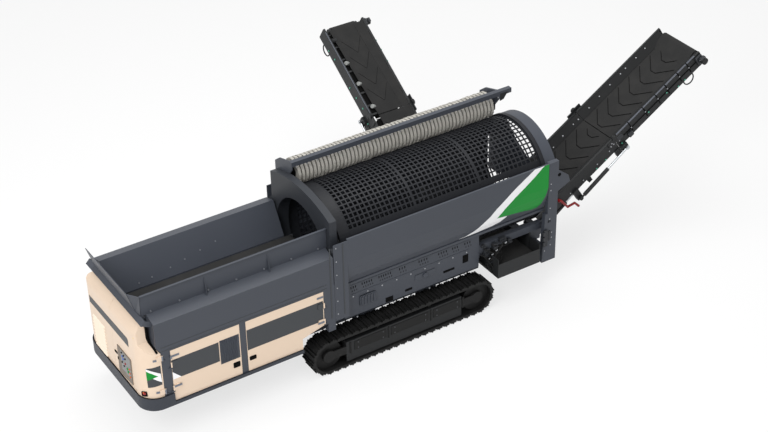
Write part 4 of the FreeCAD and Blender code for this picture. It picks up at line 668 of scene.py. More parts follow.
def belt_line(s_cut, s_roll, low, radius):
    """Outline of a belt in its conveyor's plane: out from the fold, round the roller and back."""
    way = 1 if s_roll > s_cut else -1
    lean = BELT_LEAN if low < 0 else 0.0
    rise = radius * math.cos(lean) - ROLL_R - low - (ROLL_R - radius) * (0 if lean else 1)
    points = [(s_cut, low - (ROLL_R - radius))]
    if lean:
        run = (rise + ROLL_R - radius) / math.tan(lean)
        points.append((s_roll - way * (radius * math.sin(lean) + run), low - (ROLL_R - radius)))
    for k in range(13):
        a = -lean + (math.pi + lean) * k / 12
        points.append((s_roll + way * radius * math.sin(a), -ROLL_R + radius * math.cos(a)))
    points.append((s_cut, -ROLL_R - radius))
    return points


def belt_strip(bm, place, s_cut, s_roll, half, low):
    """Belt with its carrying run, its turn round the roller and its return run."""
    outer = belt_line(s_cut, s_roll, low, ROLL_R)
    inner = belt_line(s_cut, s_roll, low, ROLL_R - BELT_THICK)
    shell(bm, [[place(a, -half, b), place(a, half, b), place(c, half, d), place(c, -half, d)]
               for (a, b), (c, d) in zip(outer, inner)])


def skirt(bm, place, s0, s1, foot0, foot1, top0, top1):
    """Rubber sheet along the belt; foot and top are (w, h) at each end."""
    rings = []
    for s, foot, top in ((s0, foot0, top0), (s1, foot1, top1)):
        rings.append([place(s, foot[0], foot[1]), place(s, top[0], top[1]),
                      place(s, top[0], top[1] - SKIRT_THICK), place(s, foot[0], foot[1] - SKIRT_THICK)])
    shell(bm, rings)


def make_rear_belts():
    """Belts of the rear conveyor in a trough between rubber skirts, with their V ribs."""
    edge = REAR_HALF - BEAM_THICK - SKIRT_GAP
    for part, s_cut, s_roll in (("lower", REAR_FOLD, TAIL_ROLL_S),
                                ("upper", REAR_FOLD + FOLD_SLOT, REAR_LENGTH)):
        belt = piece("rear_%s_trough" % part,
                     lambda bm: belt_strip(bm, on_rear, s_cut, s_roll, REAR_BELT_HALF, REAR_LOW),
                     "rear_" + part, "belt")
        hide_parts("rear_%s_belt" % part)

        def skirts(bm):
            for side in (-1, 1):
                foot, top = (side * REAR_FLAT, REAR_LOW + SKIRT_LIFT), (side * edge, WING_TOP)
                skirt(bm, on_rear, s_cut, s_roll, foot, foot, top, top)
        piece("rear_%s_skirts" % part, skirts, "rear_" + part, "skirt")
    look = dict(reach=0.385, tip=0.07, depth=0.27, width=0.022, height=0.012, base=REAR_LOW)
    cleats("rear_lower_ribs", "rear_lower", 0.185, 5, REAR_RIB_PITCH, on_rear, **look)
    cleats("rear_upper_ribs", "rear_upper", 2.099, 7, REAR_RIB_PITCH, on_rear, **look)
    short = dict(look, reach=0.19, depth=0.103)
    cleats("rear_fold_rib", "rear_lower", 1.793, 1, REAR_RIB_PITCH, on_rear, **short)


def recess_edge(s):
    """How far the side belt reaches towards the machine's front at a place along it."""
    return 0.3 + max(0.0, s - 2.0) * 0.036


def make_side_belts():
    """Belts of the side conveyor: a skirt on one side, an open recess with idlers on the other."""
    edge = SIDE_HALF - BEAM_THICK - SKIRT_GAP
    for part, s_cut, s_roll in (("lower", SIDE_FOLD, TAIL_ROLL_S),
                                ("upper", SIDE_FOLD + FOLD_SLOT, SIDE_LENGTH)):
        belt = piece("side_%s_trough" % part,
                     lambda bm: belt_strip(bm, on_side, s_cut, s_roll, SIDE_FLAT, 0.0),
                     "side_" + part, "belt")
        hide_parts("side_%s_belt" % part)

        def skirts(bm):
            skirt(bm, on_side, s_cut, s_roll, (-SIDE_FLAT, 0.004), (-0.24, 0.004),
                  (-edge, WING_TOP), (-edge, WING_TOP))
            a, b = recess_edge(s_cut), recess_edge(s_roll)
            skirt(bm, on_side, s_cut, s_roll, (SIDE_FLAT - 0.02, 0.003), (SIDE_FLAT - 0.02, 0.003),
                  (a, 0.006 + (a - SIDE_FLAT) * 0.25), (b, 0.006 + (b - SIDE_FLAT) * 0.25))
        piece("side_%s_skirts" % part, skirts, "side_" + part, "belt")

        def floor(bm):
            low, high = sorted((max(s_cut, RECESS_START), max(s_roll, RECESS_START)))
            block(bm, (low, 0.25, RECESS_FLOOR), (high - 0.1, edge + 0.008, RECESS_FLOOR + 0.02),
                  on_side, 0.004)
        piece("side_%s_recess" % part, floor, "side_" + part, "slot")
    look = dict(reach=0.245, tip=0.012, depth=0.36, width=0.014, height=0.005, base=0.0)
    cleats("side_lower_ribs", "side_lower", 0.43, 4, SIDE_RIB_PITCH, on_side, **look)
    cleats("side_upper_ribs", "side_upper", 2.545, 4, SIDE_RIB_PITCH, on_side, **look)


SIDE_CAPS = {"lower": ((2.225, -0.23),),
             "upper": ((4.124, -0.192), (3.863, -0.139), (3.126, -0.167), (2.839, -0.127), (2.547, -0.099))}


def conveyor_studs(side, what, points, spot, way, **look):
    """Studs on both parts of a conveyor; spot turns a pair of numbers into a place."""
    for part in ("lower", "upper"):
        studs("%s_%s_%s" % (side, part, what), [(spot(*p), way) for p in points[part]],
              "%s_%s" % (side, part), **look)


def make_side_details():
    """Idlers and bars in the side conveyor's recess, its pale rail and its caps."""
    def idlers(bm):
        for s, w in ((3.629, 0.411), (3.08, 0.39), (2.48, 0.36)):
            centre, way = on_side(s, w, 0.022), heading(on_side, 0, 0.8, 0.6)
            tube(bm, [centre - way * 0.09, centre - way * 0.006, centre], [0.046, 0.046, 0.041], 20)
    piece("side_idlers", idlers, "side_upper", "pale")

    def bars(bm):
        for s in (4.068, 3.746, 3.426, 3.107, 2.863, 2.532, 2.313):
            block(bm, (s - 0.022, 0.27, -0.04), (s + 0.022, 0.468, -0.012), on_side, 0.004)
        tube(bm, [on_side(4.231, 0.34, -0.02), on_side(4.231, 0.466, 0.03)], 0.052, 16)
    piece("side_recess_bars", bars, "side_upper", "black")

    blocks("side_rail", [((SIDE_FOLD + 0.04, 0.488, 0.05), (4.46, 0.512, 0.054), 0.001)],
           "side_upper", "rail", on_side)

    out = heading(on_side, 0, 1, 0)
    conveyor_studs("side", "caps", SIDE_CAPS, lambda s, h: on_side(s, SIDE_HALF + 0.002, h), out,
                   radius=0.02, height=0.018, finish="teal")
    studs("side_far_caps", [(on_side(s, -SIDE_HALF - 0.002, 0.03), -out) for s in (3.93, 3.68, 3.38)],
          "side_upper", radius=0.02, height=0.024, finish="teal")


SIDE_PROFILE = [(2.957, -1.25), (2.42, -1.25), (2.23, -1.232), (2.04, -1.19), (1.88, -1.118)]


def side_wall_y(z):
    """Y of the near trommel side's outer face at a height."""
    for (z1, y1), (z0, y0) in zip(SIDE_PROFILE, SIDE_PROFILE[1:]):
        if z >= z0:
            return y0 + (y1 - y0) * min(1.0, (z - z0) / (z1 - z0))
    return SIDE_PROFILE[-1][1]


def wrapped(name, outline, cuts, place, body, finish, proud=PROUD):
    """Painted figure laid on a curved face; place(a, b, out) is a point of that face."""
    bm = bmesh.new()
    bm.faces.new([bm.verts.new((a, b, 0)) for a, b in outline])
    for axis, value in cuts:
        spot, way = [0, 0, 0], [0, 0, 0]
        spot[axis], way[axis] = value, 1
        bmesh.ops.bisect_plane(bm, geom=bm.verts[:] + bm.edges[:] + bm.faces[:],
                               plane_co=spot, plane_no=way)
    outward = {}
    for v in bm.verts:
        a, b = v.co.x, v.co.y
        outward[v] = place(a, b, 1.0) - place(a, b, 0.0)
        v.co = place(a, b, proud)
    bm.normal_update()
    for f in bm.faces:
        if f.normal.dot(outward[f.verts[0]]) < 0:
            f.normal_flip()
    mesh = bpy.data.meshes.new(name)
    bm.to_mesh(mesh)
    bm.free()
    obj = put(name, mesh, body, finish)
    skin = obj.modifiers.new("skin", "SOLIDIFY")
    skin.thickness = proud * 0.9
    skin.offset = -1.0


def wall_sheet(name, outline, finish):
    """Painted figure on the near trommel side, following its bends."""
    bends = [(1, z) for z, _ in SIDE_PROFILE[1:-1]]
    wrapped(name, outline, bends, lambda x, z, out: here(x, side_wall_y(z) - out, z), "machine",
            finish)


def corner(t, z, out):
    """Face of the front cover round its near corner; t runs from the start of the bend."""
    x, y = HOOD_FACE + HOOD_CORNER, BODY_SIDE + HOOD_CORNER
    turn = min(max(t / HOOD_CORNER, 0.0), math.pi / 2)
    r = HOOD_CORNER + out
    past = max(0.0, t - HOOD_CORNER * math.pi / 2)
    return here(x - r * math.cos(turn) + past, y - r * math.sin(turn) - min(t, 0.0), z)


CORNER_CUTS = [(0, 0.05 * i) for i in range(1, 11)]


def corner_sheet(name, outline, finish, proud):
    """Figure on the near corner of the front cover."""
    wrapped(name, outline, CORNER_CUTS, corner, "hood_near_body", finish, proud)


def mirrored(mesh):
    """The same mesh on the other side of the machine."""
    for v in mesh.vertices:
        v.co.y = 2 * SHIFT.y - v.co.y
    mesh.flip_normals()
    return mesh


def both_sides(name, build, body, finish):
    """A near piece and its mirror image; a body that moves has the side's name in it."""
    for tag in ("near", "far"):
        mesh = mesh_of(build)
        if tag == "far":
            mesh = mirrored(mesh)
        put("%s_%s" % (name, tag), mesh, body.replace("SIDE", tag), finish)


def make_stripes():
    """White and green sweep on the trommel side."""
    wall_sheet("white_sweep", [(8.88, 2.957), (8.644, 2.957), (8.406, 2.814), (8.169, 2.667),
                               (7.933, 2.497), (7.748, 2.364), (7.595, 2.213), (7.426, 2.084),
                               (7.267, 1.967), (7.078, 1.895), (6.938, 1.885), (7.248, 1.885),
                               (7.488, 1.9), (7.724, 1.915), (7.899, 1.955), (8.032, 2.067),
                               (7.783, 2.106), (7.948, 2.286), (8.175, 2.467), (8.413, 2.62),
                               (8.651, 2.785), (8.83, 2.93)], "white")
    wall_sheet("green_sweep", [(8.995, 2.957), (8.995, 2.406), (8.947, 2.221), (8.871, 2.05),
                               (8.79, 1.965), (8.658, 1.962), (8.356, 2.037), (8.029, 2.081),
                               (7.783, 2.106), (7.948, 2.286), (8.175, 2.467), (8.413, 2.62),
                               (8.651, 2.785), (8.88, 2.957)], "green")


def plate_on_side(bm, x0, x1, z0, z1, y=BODY_SIDE, thick=PROUD):
    """Thin plate on the near side wall."""
    slab(bm, [here(x0, y, z0), here(x1, y, z0), here(x1, y, z1), here(x0, y, z1)],
         Vector((0, -thick, 0)))


def louvre(bm):
    """Upright slats in the front door's vent."""
    plate_on_side(bm, 1.568, 1.968, 1.25, 1.785, thick=0.004)
    for i in range(9):
        x = 1.59 + i * 0.04
        slab(bm, [here(x, BODY_SIDE - 0.004, 1.262), here(x + 0.026, BODY_SIDE - 0.004, 1.262),
                  here(x + 0.006, BODY_SIDE - 0.018, 1.262)], Vector((0, 0, 0.51)))


def strap(bm, x0, x1, z, depth=0.016, height=0.044):
    """Hinge strap with two bolt heads, on a CAD hinge's outer face."""
    y = BODY_SIDE - depth
    block(bm, (x0, y - 0.008, z - height / 2), (x1, y + 0.001, z + height / 2), bevel=0.003)
    for share in (0.35, 0.75):
        x = x0 + (x1 - x0) * share
        tube(bm, [here(x, y - 0.007, z), here(x, y - 0.016, z)], 0.013, 8)


def make_door_looks():
    """Grey bands, vent, handles and hinge straps on the doors."""
    body = "front_door_SIDE_body"
    both_sides("front_band", lambda bm: plate_on_side(bm, 0.598, 1.55, 1.335, 1.77), body,
               "band")
    both_sides("front_louvre", louvre, body, "anthracite")
    both_sides("front_handle", lambda bm: handle(bm, 1.815, 1.955, 1.05, 1.17), body, "slot")
    both_sides("front_mark", lambda bm: slab(bm, [here(0.599, BODY_SIDE - PROUD, 1.503),
                                                  here(0.762, BODY_SIDE - PROUD, 1.336),
                                                  here(0.599, BODY_SIDE - PROUD, 1.336)],
                                             Vector((0, -0.0015, 0))), body, "white")

    def front_straps(bm):
        strap(bm, 0.6, 0.762, 1.857, depth=0.0)
        strap(bm, 0.592, 0.757, 1.18)
        tube(bm, [here(0.5915, BODY_SIDE - 0.016, z) for z in (1.828, 1.886)], 0.018, 14)
        block(bm, (0.58, BODY_SIDE - 0.03, 1.838), (0.606, BODY_SIDE - 0.001, 1.876), bevel=0.003)
    both_sides("front_straps", front_straps, body, "strap")

    def front_cover(bm):
        block(bm, (0.602, BODY_SIDE - 0.018, 1.625), (0.724, BODY_SIDE, 1.745), bevel=0.002)
    both_sides("front_hinge_cover", front_cover, body, "band")

    body = "rear_door_SIDE_body"
    both_sides("rear_band", lambda bm: plate_on_side(bm, 2.13, 3.755, 1.33, 1.79), body,
               "band")
    both_sides("rear_handle", lambda bm: handle(bm, 2.155, 2.295, 1.08, 1.17), body, "slot")

    def rear_straps(bm):
        strap(bm, 3.63, 3.764, 1.882, depth=0.0)
        strap(bm, 3.625, 3.772, 1.312)
    both_sides("rear_straps", rear_straps, body, "strap")

    def rear_cover(bm):
        block(bm, (3.642, BODY_SIDE - 0.018, 1.625), (3.757, BODY_SIDE, 1.745), bevel=0.002)
    both_sides("rear_hinge_cover", rear_cover, body, "band")


def handle(bm, x0, x1, z0, z1):
    """Sunk door latch: a frame with a lever across it."""
    y = BODY_SIDE
    slab(bm, [here(x0 + 0.012, y, z0), here(x1 - 0.012, y, z0), here(x1, y, z0 + 0.012),
              here(x1, y, z1 - 0.012), here(x1 - 0.012, y, z1), here(x0 + 0.012, y, z1),
              here(x0, y, z1 - 0.012), here(x0, y, z0 + 0.012)], Vector((0, -0.008, 0)))
    block(bm, (x0 + 0.03, y - 0.02, z0 + 0.03), (x1 - 0.03, y - 0.008, z1 - 0.03), bevel=0.003)


def make_hood_looks():
    """Band, vent slats, control window and latches on the front cover."""
    x = HOOD_FACE

    def band(bm):
        slab(bm, [here(x, 0.925, 1.985), here(x, 0.925, 2.14), here(x, 0.0026, 2.16),
                  here(x, 0.0026, 1.985)], Vector((-PROUD, 0, 0)))
    piece("hood_band_far", band, "hood_far_body", "band")

    def band_near(bm):
        slab(bm, [here(x, -0.0026, 1.985), here(x, -0.0026, 2.16), here(x, -0.7, 2.175),
                  here(x, -0.735, 2.14), here(x, -0.735, 1.985)], Vector((-PROUD, 0, 0)))
    piece("hood_band_near", band_near, "hood_near_body", "band")

    # The slats are painted lighter than the beige: painted highlight on their lit faces.
    def slats(bm):
        for i in range(10):
            z = 1.07 + i * 0.072
            slab(bm, [here(x, 0.345, z), here(x, 0.345, z + 0.04), here(x - 0.024, 0.345, z + 0.002)],
                 Vector((0, 0.495, 0)))
    piece("hood_louvres", slats, "hood_far_body", "lit_slat_beige")
    make_control_window(x)

    blocks("hood_latches", [((x - 0.014, -0.155, 1.452), (x, -0.045, 1.496), 0.005),
                            ((x - 0.02, -0.215, 1.362), (x, -0.172, 1.42), 0.005)],
           "hood_near_body", "slot")


def make_control_window(x):
    """Control window in the near half of the front cover: a frame drawn proud for the window's deep sunk
    recess, in darkened beige as painted shade, round a panel of controls.
    """
    outer = [(-0.202, 1.713), (-0.768, 1.716), (-0.75, 1.127), (-0.175, 1.067)]
    inner = [(-0.3, 1.655), (-0.694, 1.655), (-0.687, 1.215), (-0.3, 1.215)]

    def frame_ring(bm):
        rings = []
        for corners, out in ((outer, 0.0), (outer, 0.014), (inner, 0.004), (inner, 0.0)):
            rings.append([here(x - out, y, z) for y, z in corners])
        for a, b in zip(rings, rings[1:]):
            for i in range(4):
                j = (i + 1) % 4
                bm.faces.new([bm.verts.new(p) for p in (a[i], a[j], b[j], b[i])])
        bmesh.ops.remove_doubles(bm, verts=bm.verts, dist=0.0001)
    piece("window_frame", frame_ring, "hood_near_body", "recess_shade")

    def panel(bm):
        slab(bm, [here(x, y, z) for y, z in inner], Vector((-0.004, 0, 0)))
    piece("window_panel", panel, "hood_near_body", "panel")
    knobs = (("blue", 0.02, ((-0.375, 1.545), (-0.405, 1.5))), ("red", 0.024, ((-0.48, 1.44),)),
             ("green", 0.026, ((-0.56, 1.375), (-0.585, 1.32))),
             ("orange", 0.02, ((-0.65, 1.42), (-0.655, 1.33), (-0.66, 1.25))),
             ("slot", 0.018, ((-0.36, 1.62), (-0.44, 1.6), (-0.42, 1.35), (-0.5, 1.56),
                              (-0.35, 1.4))))
    for finish, radius, spots in knobs:
        def controls(bm):
            for y, z in spots:
                tube(bm, [here(x - 0.003, y, z), here(x - 0.016, y, z), here(x - 0.018, y, z)],
                     [radius, radius, radius * 0.8], 12)
        piece("controls_" + finish, controls, "hood_near_body", finish)


CORNER_FIGURES = (
    ("patch", "band", 0.003, [(0.276, 1.714), (0.323, 1.728), (0.395, 1.737), (0.467, 1.748), (0.549, 1.753),
                              (0.549, 1.323), (0.482, 1.317), (0.39, 1.302), (0.284, 1.284),
                              (0.277, 1.513)]),
    ("white", "white", 0.005, [(0.278, 1.712), (0.354, 1.678), (0.439, 1.638), (0.535, 1.578),
                               (0.548, 1.379), (0.457, 1.446), (0.399, 1.492), (0.278, 1.64)]),
    ("green", "green", 0.007, [(0.278, 1.662), (0.383, 1.608), (0.483, 1.535), (0.382, 1.501),
                               (0.282, 1.454)]),
    ("lamp_frame", "slot", 0.012, [(0.148, 1.172), (0.24, 1.195), (0.253, 1.182), (0.261, 1.098),
                                   (0.25, 1.083), (0.148, 1.062), (0.135, 1.075), (0.134, 1.158)]),
    ("lamp", "red", 0.018, [(0.165, 1.16), (0.222, 1.174), (0.232, 1.125), (0.176, 1.108)]),
    ("lamp_spot", "orange", 0.021, [(0.175, 1.168), (0.196, 1.172), (0.198, 1.148), (0.177, 1.144)]),
)


def make_hood_corner():
    """Grey patch with a white and a green figure, lamp, hinge straps and yellow mark on the corner."""
    for name, finish, proud, outline in CORNER_FIGURES:
        corner_sheet("corner_" + name, outline, finish, proud)
    for i, z in enumerate((1.887, 1.165)):
        corner_sheet("hood_strap_%d" % (i + 1), [(0.421, z - 0.02), (0.566, z - 0.02),
                                                 (0.566, z + 0.02), (0.421, z + 0.02)], "strap", 0.01)

    def sleeves(bm):
        for z in (1.85, 1.1):
            tube(bm, [here(0.425, BODY_SIDE - 0.016, z + 0.003),
                      here(0.425, BODY_SIDE - 0.016, z + 0.107)], 0.0155, 16)
    piece("hood_sleeves", sleeves, "hood_near_body", "strap")

    def mark(bm):
        slab(bm, [here(0.036, -0.945, 2.35), here(0.036, -0.975, 2.33), here(0.09, -1.048, 2.415),
                  here(0.082, -1.036, 2.44)], Vector((-0.002, -0.004, 0)))
    piece("hood_mark", mark, "hood_near_body", "yellow")

    def gasket(bm):
        wide = ((0.262, -1.048, 2.56), (0.262, -1.052, 2.3), (0.285, -1.075, 2.19),
                (0.33, -1.18, 2.09), (0.345, -1.245, 2.03))
        tube(bm, [here(*p) for p in wide], 0.02, 8)
    piece("hood_gasket", gasket, "hood_near_body", "slot")


REAR_BOLTS = {"lower": ((0.587, -0.179), (0.97, -0.182), (1.407, -0.141), (1.774, -0.122)),
              "upper": ((2.076, -0.113), (2.448, -0.083), (2.881, -0.053), (3.258, -0.045),
                        (3.546, -0.036), (3.904, -0.038), (4.182, -0.051))}
REAR_CAPS = {"lower": ((0.72, -0.24), (1.345, -0.229), (1.615, -0.24)),
             "upper": ((2.101, -0.235), (2.382, -0.182), (2.94, -0.142), (3.493, -0.113),
                       (3.786, -0.24), (3.98, -0.24))}
SKIRT_BOLTS = {"lower": ((1.14, 0.467), (1.457, 0.489), (1.788, 0.5), (1.939, 0.5)),
               "upper": ((2.272, 0.51), (2.605, 0.521), (2.939, 0.531), (3.265, 0.536),
                         (3.425, 0.542), (3.744, 0.541), (4.026, 0.546))}


def make_rear_beams():
    """Pale flange strip, ribs and lock bar on the rear conveyor's near beam."""
    blocks("rear_flange_strip", [((2.1, -0.648, 0.05), (4.42, -0.606, 0.055), 0.001)],
           "rear_upper", "rail", on_rear)
    ribs = []
    for s, _ in REAR_BOLTS["upper"]:
        ribs.append(((s - 0.01, -0.65, 0.05), (s + 0.01, -0.604, 0.066), 0.002))
        ribs.append(((s - 0.01, -0.662, -0.2), (s + 0.01, -0.65, 0.04), 0.002))
    ribs.append(((2.05, -0.66, -0.11), (4.4, -0.65, -0.085), 0.003))
    blocks("rear_beam_ribs", ribs, "rear_upper", "slot", on_rear)

    def bar(bm):
        tube(bm, [on_rear(s, -0.69, h) for s, h in ((0.29, -0.06), (0.322, -0.098), (0.369, -0.386),
                                                     (0.539, -0.454), (0.572, -0.611))], 0.028, 8)
        tube(bm, [on_rear(0.3, -0.64, -0.08), on_rear(0.3, -0.695, -0.08)], 0.034, 12)
    piece("rear_lock_bar", bar, "rear_lower", "red")


def make_rear_studs():
    """Bolts and caps on the rear conveyor's near beam and inside its far skirt."""
    near, face = heading(on_rear, 0, -1, 0), -REAR_HALF - 0.002
    conveyor_studs("rear", "bolts", REAR_BOLTS, lambda s, h: on_rear(s, face - 0.01, h), near,
                   radius=0.015, height=0.014)
    conveyor_studs("rear", "caps", REAR_CAPS, lambda s, h: on_rear(s, face, h), near,
                   radius=0.019, height=0.018, finish="teal")
    slope = math.atan2(WING_TOP - REAR_LOW, REAR_HALF - BEAM_THICK - SKIRT_GAP - REAR_FLAT)
    inward = heading(on_rear, 0, -math.sin(slope), math.cos(slope))
    foot = REAR_LOW + SKIRT_LIFT
    conveyor_studs("rear", "skirt_bolts", SKIRT_BOLTS,
                   lambda s, w: on_rear(s, w, foot + (w - REAR_FLAT) * math.tan(slope)), inward,
                   radius=0.014, height=0.016)


def make_motors():
    """Gear case, flange and hose ends on both conveyor motors."""
    for name, place, half, length in (("rear", on_rear, REAR_HALF, REAR_LENGTH),
                                      ("side", on_side, SIDE_HALF, SIDE_LENGTH)):
        def case(bm):
            block(bm, (length - 0.115, -half - 0.06, -ROLL_R - 0.115), (length + 0.05, -half, 0.02),
                  place, 0.012)
            tube(bm, [place(length, -half - 0.055, -ROLL_R), place(length, -half - 0.085, -ROLL_R),
                      place(length, -half - 0.09, -ROLL_R)], [0.094, 0.094, 0.084], 20)
            block(bm, (length - 0.06, -half - 0.166, -ROLL_R + 0.07),
                  (length + 0.04, -half - 0.1, -ROLL_R + 0.105), place, 0.006)
        piece(name + "_gear_case", case, name + "_upper", "motor")
        way = heading(place, 0, -1, 0)
        ring = [(place(length + 0.075 * math.cos(a), -half - 0.092, -ROLL_R + 0.075 * math.sin(a)), way)
                for a in (math.radians(k) for k in range(20, 380, 60))]
        studs(name + "_gear_bolts", ring, name + "_upper", radius=0.01, height=0.012)


def make_fold_looks():
    """Bolts and a block by each fold of the rear conveyor, seen beside the near beam."""
    near = heading(on_rear, 0, -1, 0)
    spots = [(on_rear(s, -0.678, h), near) for s, h in ((1.9, 0.01), (1.85, -0.04), (1.93, -0.045))]
    studs("rear_fold_bolts", spots, "rear_lower", radius=0.016, height=0.014)

    blocks("rear_fold_blocks", [((2.05, -0.716, -0.06), (2.19, -0.65, 0.06), 0.012),
                                ((2.3, -0.7, -0.26), (2.42, -0.65, -0.14), 0.01)],
           "rear_upper", "motor", on_rear)


def make_hopper_looks():
    """Bolts on the hopper's walls, and dark strips along its outside: painted shade in its creases."""
    rim = row(here(0.42, -0.995, 2.79), here(3.85, -0.995, 2.79), 0.62, OUTWARD)
    studs("hopper_bolts", rim, "machine", radius=0.018, height=0.024, finish="rivet")
    inward = Vector((0, -0.87, 0.49))
    spots = [(here(*p), inward) for p in ((0.933, 0.663, 2.197), (1.209, 0.674, 2.217),
                                          (1.61, 0.7, 2.262), (1.93, 0.728, 2.311),
                                          (2.274, 0.758, 2.368), (2.62, 0.79, 2.42))]
    studs("hopper_inner_bolts", spots, "machine", radius=0.016, height=0.016, finish="rivet")
    mouth = Vector((0.72, 0, 0.7))
    spots = [(here(0.235, y, 2.8), mouth) for y in (-0.8, -0.4, 0.0, 0.4, 0.8)]
    studs("hopper_front_bolts", spots, "machine", radius=0.016, height=0.016)

    # Dark strips along the creases: painted shade.
    blocks("hopper_crease_shades", [((0.42, BODY_SIDE - 0.004, z), (3.86, BODY_SIDE, z + 0.012), 0.001)
                              for z in (2.03, 2.11)], "machine", "band")


def make_brush_beam_looks():
    """Bolts under the brush beam, its rear arm's gusset and bearing."""
    spots = row(here(4.3, 0.499, 3.64), here(9.0, 0.499, 3.64), 0.235, OUTWARD)
    studs("beam_bolts", spots, "machine", radius=0.014, height=0.02)

    def gusset(bm):
        slab(bm, [here(9.05, 0.5, 3.71), here(9.25, 0.5, 3.71), here(9.14, 0.5, 3.56),
                  here(9.05, 0.5, 3.54)], Vector((0, 0.012, 0)))
        block(bm, (8.985, 0.64, 3.27), (9.045, 0.96, 3.47), bevel=0.01)
    piece("brush_gusset", gusset, "machine", "black")


def slots(bm, x0, x1, z, y, count, long=0.05):
    """A row of short upright slots, drawn as thin dark plates: painted shade inside the openings."""
    for i in range(count):
        x = x0 + (x1 - x0) * i / max(1, count - 1)
        slab(bm, [here(x, y, z), here(x + long * 0.36, y, z), here(x + long * 0.36, y, z + long),
                  here(x, y, z + long)], Vector((0, -PROUD, 0)))


def make_sill_plates(y):
    """Ribbed bracket, cover plate with its cap and two long creases on the sill."""
    def plates(bm):
        block(bm, (4.66, y - 0.03, 1.19), (5.02, y, 1.42), bevel=0.01)
        for i in range(5):
            x = 4.69 + i * 0.068
            block(bm, (x, y - 0.05, 1.205), (x + 0.03, y - 0.028, 1.405), bevel=0.006)
        block(bm, (5.93, y - 0.012, 1.262), (6.4, y, 1.395), bevel=0.005)
        tube(bm, [here(6.165, y, 1.328), here(6.165, y - 0.034, 1.328), here(6.165, y - 0.038, 1.328)],
             [0.058, 0.058, 0.048], 20)
        block(bm, (4.48, y - 0.006, 1.74), (7.2, y, 1.752), bevel=0.001)
        block(bm, (4.48, y - 0.006, 1.52), (7.2, y, 1.532), bevel=0.001)
    piece("sill_plates", plates, "machine", "anthracite")


def make_sill_looks():
    """Slots, holes and bolts along the drum module's near sill."""
    y = SILL_Y

    def marks(bm):
        for x0, x1 in ((4.47, 4.57), (4.72, 4.93), (5.1, 5.36), (5.57, 5.69), (6.02, 6.2), (6.48, 6.66),
                       (6.81, 6.92), (7.1, 7.22)):
            slots(bm, x0, x1, 1.66, y, max(3, round((x1 - x0) / 0.045)))
            slots(bm, x0 + 0.03, x1 + 0.03, 1.585, y, max(3, round((x1 - x0) / 0.045)), 0.034)
    piece("sill_slots", marks, "machine", "slot")

    make_sill_plates(y)
    # Holes drawn as near-black blocks: painted shade inside them.
    holes = ((4.76, 4.81, 1.25, 1.36), (5.25, 5.42, 1.02, 1.13), (5.7, 5.86, 1.1, 1.15),
             (6.6, 6.86, 1.18, 1.23), (7.06, 7.19, 1.24, 1.42))
    blocks("sill_holes", [((x0, y - 0.008, z0), (x1, y, z1), 0.006) for x0, x1, z0, z1 in holes],
           "machine", "slot")
    spots = row(here(4.52, y, 1.47), here(7.15, y, 1.47), 0.33, OUTWARD)
    spots += row(here(4.6, y, 0.96), here(7.1, y, 0.96), 0.42, OUTWARD)
    studs("sill_bolts", spots, "machine", radius=0.016, height=0.016)


def make_service_bay():
    """Valves, hoses and fittings in the open bay behind the tracks."""
    valve_rows = ((7.56, -1.13, 1.18, 0.13, 0.1, 0.2), (7.76, -1.16, 1.33, 0.1, 0.11, 0.13),
                  (7.93, -1.13, 1.42, 0.16, 0.1, 0.09), (7.64, -1.17, 1.02, 0.11, 0.09, 0.11),
                  (8.12, -1.15, 1.33, 0.09, 0.08, 0.1), (7.5, -1.12, 1.43, 0.09, 0.08, 0.07))

    def valves(bm):
        for x, y, z, dx, dy, dz in valve_rows:
            block(bm, (x, y, z), (x + dx, y + dy, z + dz), bevel=0.01)
            for k in range(3):
                a = here(x + dx * (k + 1) / 4, y, z + dz * 0.6)
                tube(bm, [a, a - Vector((0, 0.028, 0))], 0.015, 8)
    piece("bay_valves", valves, "machine", "motor")

    def pipes(bm):
        for i, (x0, z0, x1, z1) in enumerate(((7.45, 1.34, 7.8, 1.08), (7.52, 1.45, 7.95, 1.22),
                                              (7.6, 1.1, 7.98, 1.46), (7.7, 1.48, 8.16, 1.36),
                                              (7.4, 1.2, 7.62, 1.02), (7.6, 1.16, 7.86, 1.14),
                                              (7.66, 1.22, 7.96, 1.12), (7.58, 1.1, 7.74, 1.02))):
            y = -1.15 - 0.012 * (i % 3)
            points = []
            for k in range(9):
                share = k / 8
                sag = math.sin(math.pi * share) * (0.05 if i < 5 else 0.17)
                points.append(here(x0 + (x1 - x0) * share, y - sag * 0.4, z0 + (z1 - z0) * share - sag))
            tube(bm, points, 0.013, 8)
    piece("bay_hoses", pipes, "machine", "hose")

    def fittings(bm):
        for x, z in ((7.8, 1.3), (7.92, 1.35), (8.02, 1.4), (7.62, 1.16), (7.7, 1.24)):
            tube(bm, [here(x, -1.165, z), here(x + 0.045, -1.165, z + 0.02)], 0.013, 10)
    piece("bay_fittings", fittings, "machine", "bolt")


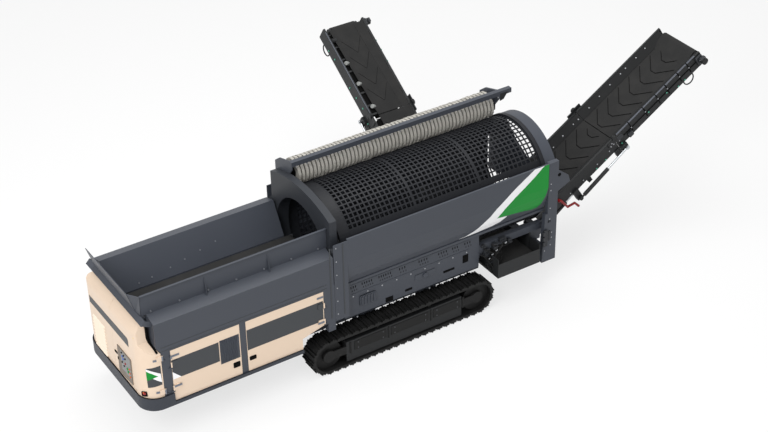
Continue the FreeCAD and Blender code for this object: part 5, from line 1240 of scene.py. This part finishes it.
def make_end_post_looks():
    """Ears' holes, bolts, hinge block and small plates on the rear end post."""
    y = BODY_SIDE

    def holes(bm):
        # The ear hole drawn as a near-black disc: painted shade inside it.
        tube(bm, [here(9.262, y + 0.001, 2.625), here(9.262, y - 0.003, 2.625)], 0.04, 20)
        slots(bm, 9.02, 9.06, 1.56, y, 2, 0.06)
    piece("ear_holes", holes, "machine", "slot")

    def hinge(bm):
        block(bm, (8.905, y - 0.042, 1.02), (9.01, y, 1.42), bevel=0.01)
        for z in (1.06, 1.18, 1.3):
            tube(bm, [here(8.9, y - 0.03, z), here(8.9, y - 0.03, z + 0.09)], 0.03, 14)
        block(bm, (9.03, y - 0.016, 1.12), (9.09, y, 1.36), bevel=0.006)
    piece("post_hinge", hinge, "machine", "motor")
    spots = [(here(x, y, z), OUTWARD)
             for x, z in ((9.06, 2.47), (9.06, 2.32), (9.06, 1.9), (9.06, 1.64),
                          (9.12, 1.3), (9.12, 1.18), (9.1, 1.0), (8.96, 0.9))]
    studs("post_bolts", spots, "machine", radius=0.014, height=0.014)


def make_front_post_looks():
    """Dark strips beside the posts between hopper and drum module, painted shade for the gaps there, and
    bolts on the posts.
    """
    y = BODY_SIDE

    # Dark grey strips where there are only gaps: painted shade.
    blocks("post_gap_shades", [((x0, y - 0.006, 1.3), (x1, y, 2.9), 0.002)
                           for x0, x1 in ((3.93, 3.958), (4.215, 4.24))],
           "machine", "band")
    spots = row(here(4.08, y, 1.35), here(4.08, y, 2.85), 0.3, OUTWARD)
    studs("front_post_bolts", spots, "machine", radius=0.014, height=0.012)
    face = Vector((-1, 0, 0))
    bumper = [(here(0.0115, v, 0.93), face) for v in (-0.2, -0.62)]
    studs("bumper_bolts", bumper, "machine", radius=0.022, height=0.012, finish="white")


def make_track_looks():
    """Covers, ribs and bolts on the outer faces of the track frames."""
    def covers(bm):
        for x0, x1 in ((4.42, 5.15), (5.26, 6.14), (6.25, 6.9)):
            block(bm, (x0, TRACK_FACE, 0.33), (x1, TRACK_FACE + 0.012, 0.54), bevel=0.008)
        for x in (4.33, 5.205, 6.195, 6.96):
            block(bm, (x - 0.018, -1.25, 0.29), (x + 0.018, -1.234, 0.56), bevel=0.005)
    both_sides("track_covers", covers, "machine", "track")
    spots = [(here(x, TRACK_FACE, z), OUTWARD)
             for x in (4.5, 5.07, 5.34, 6.06, 6.33, 6.82) for z in (0.37, 0.5)]
    studs("track_bolts", spots, "machine", "dark_steel", radius=0.015, height=0.012, finish="steel")


def main():
    make_camera()
    bpy.context.scene.view_settings.view_transform = "Standard"
    make_sky()
    make_lamps()
    make_floor()
    dress_solids()
    make_drum()
    make_outlet_looks()
    make_brush()
    make_rear_belts()
    make_side_belts()
    make_side_details()
    make_stripes()
    make_door_looks()
    make_hood_looks()
    make_hood_corner()
    make_rear_beams()
    make_rear_studs()
    make_motors()
    make_fold_looks()
    make_hopper_looks()
    make_brush_beam_looks()
    make_sill_looks()
    make_service_bay()
    make_end_post_looks()
    make_front_post_looks()
    make_track_looks()


main()
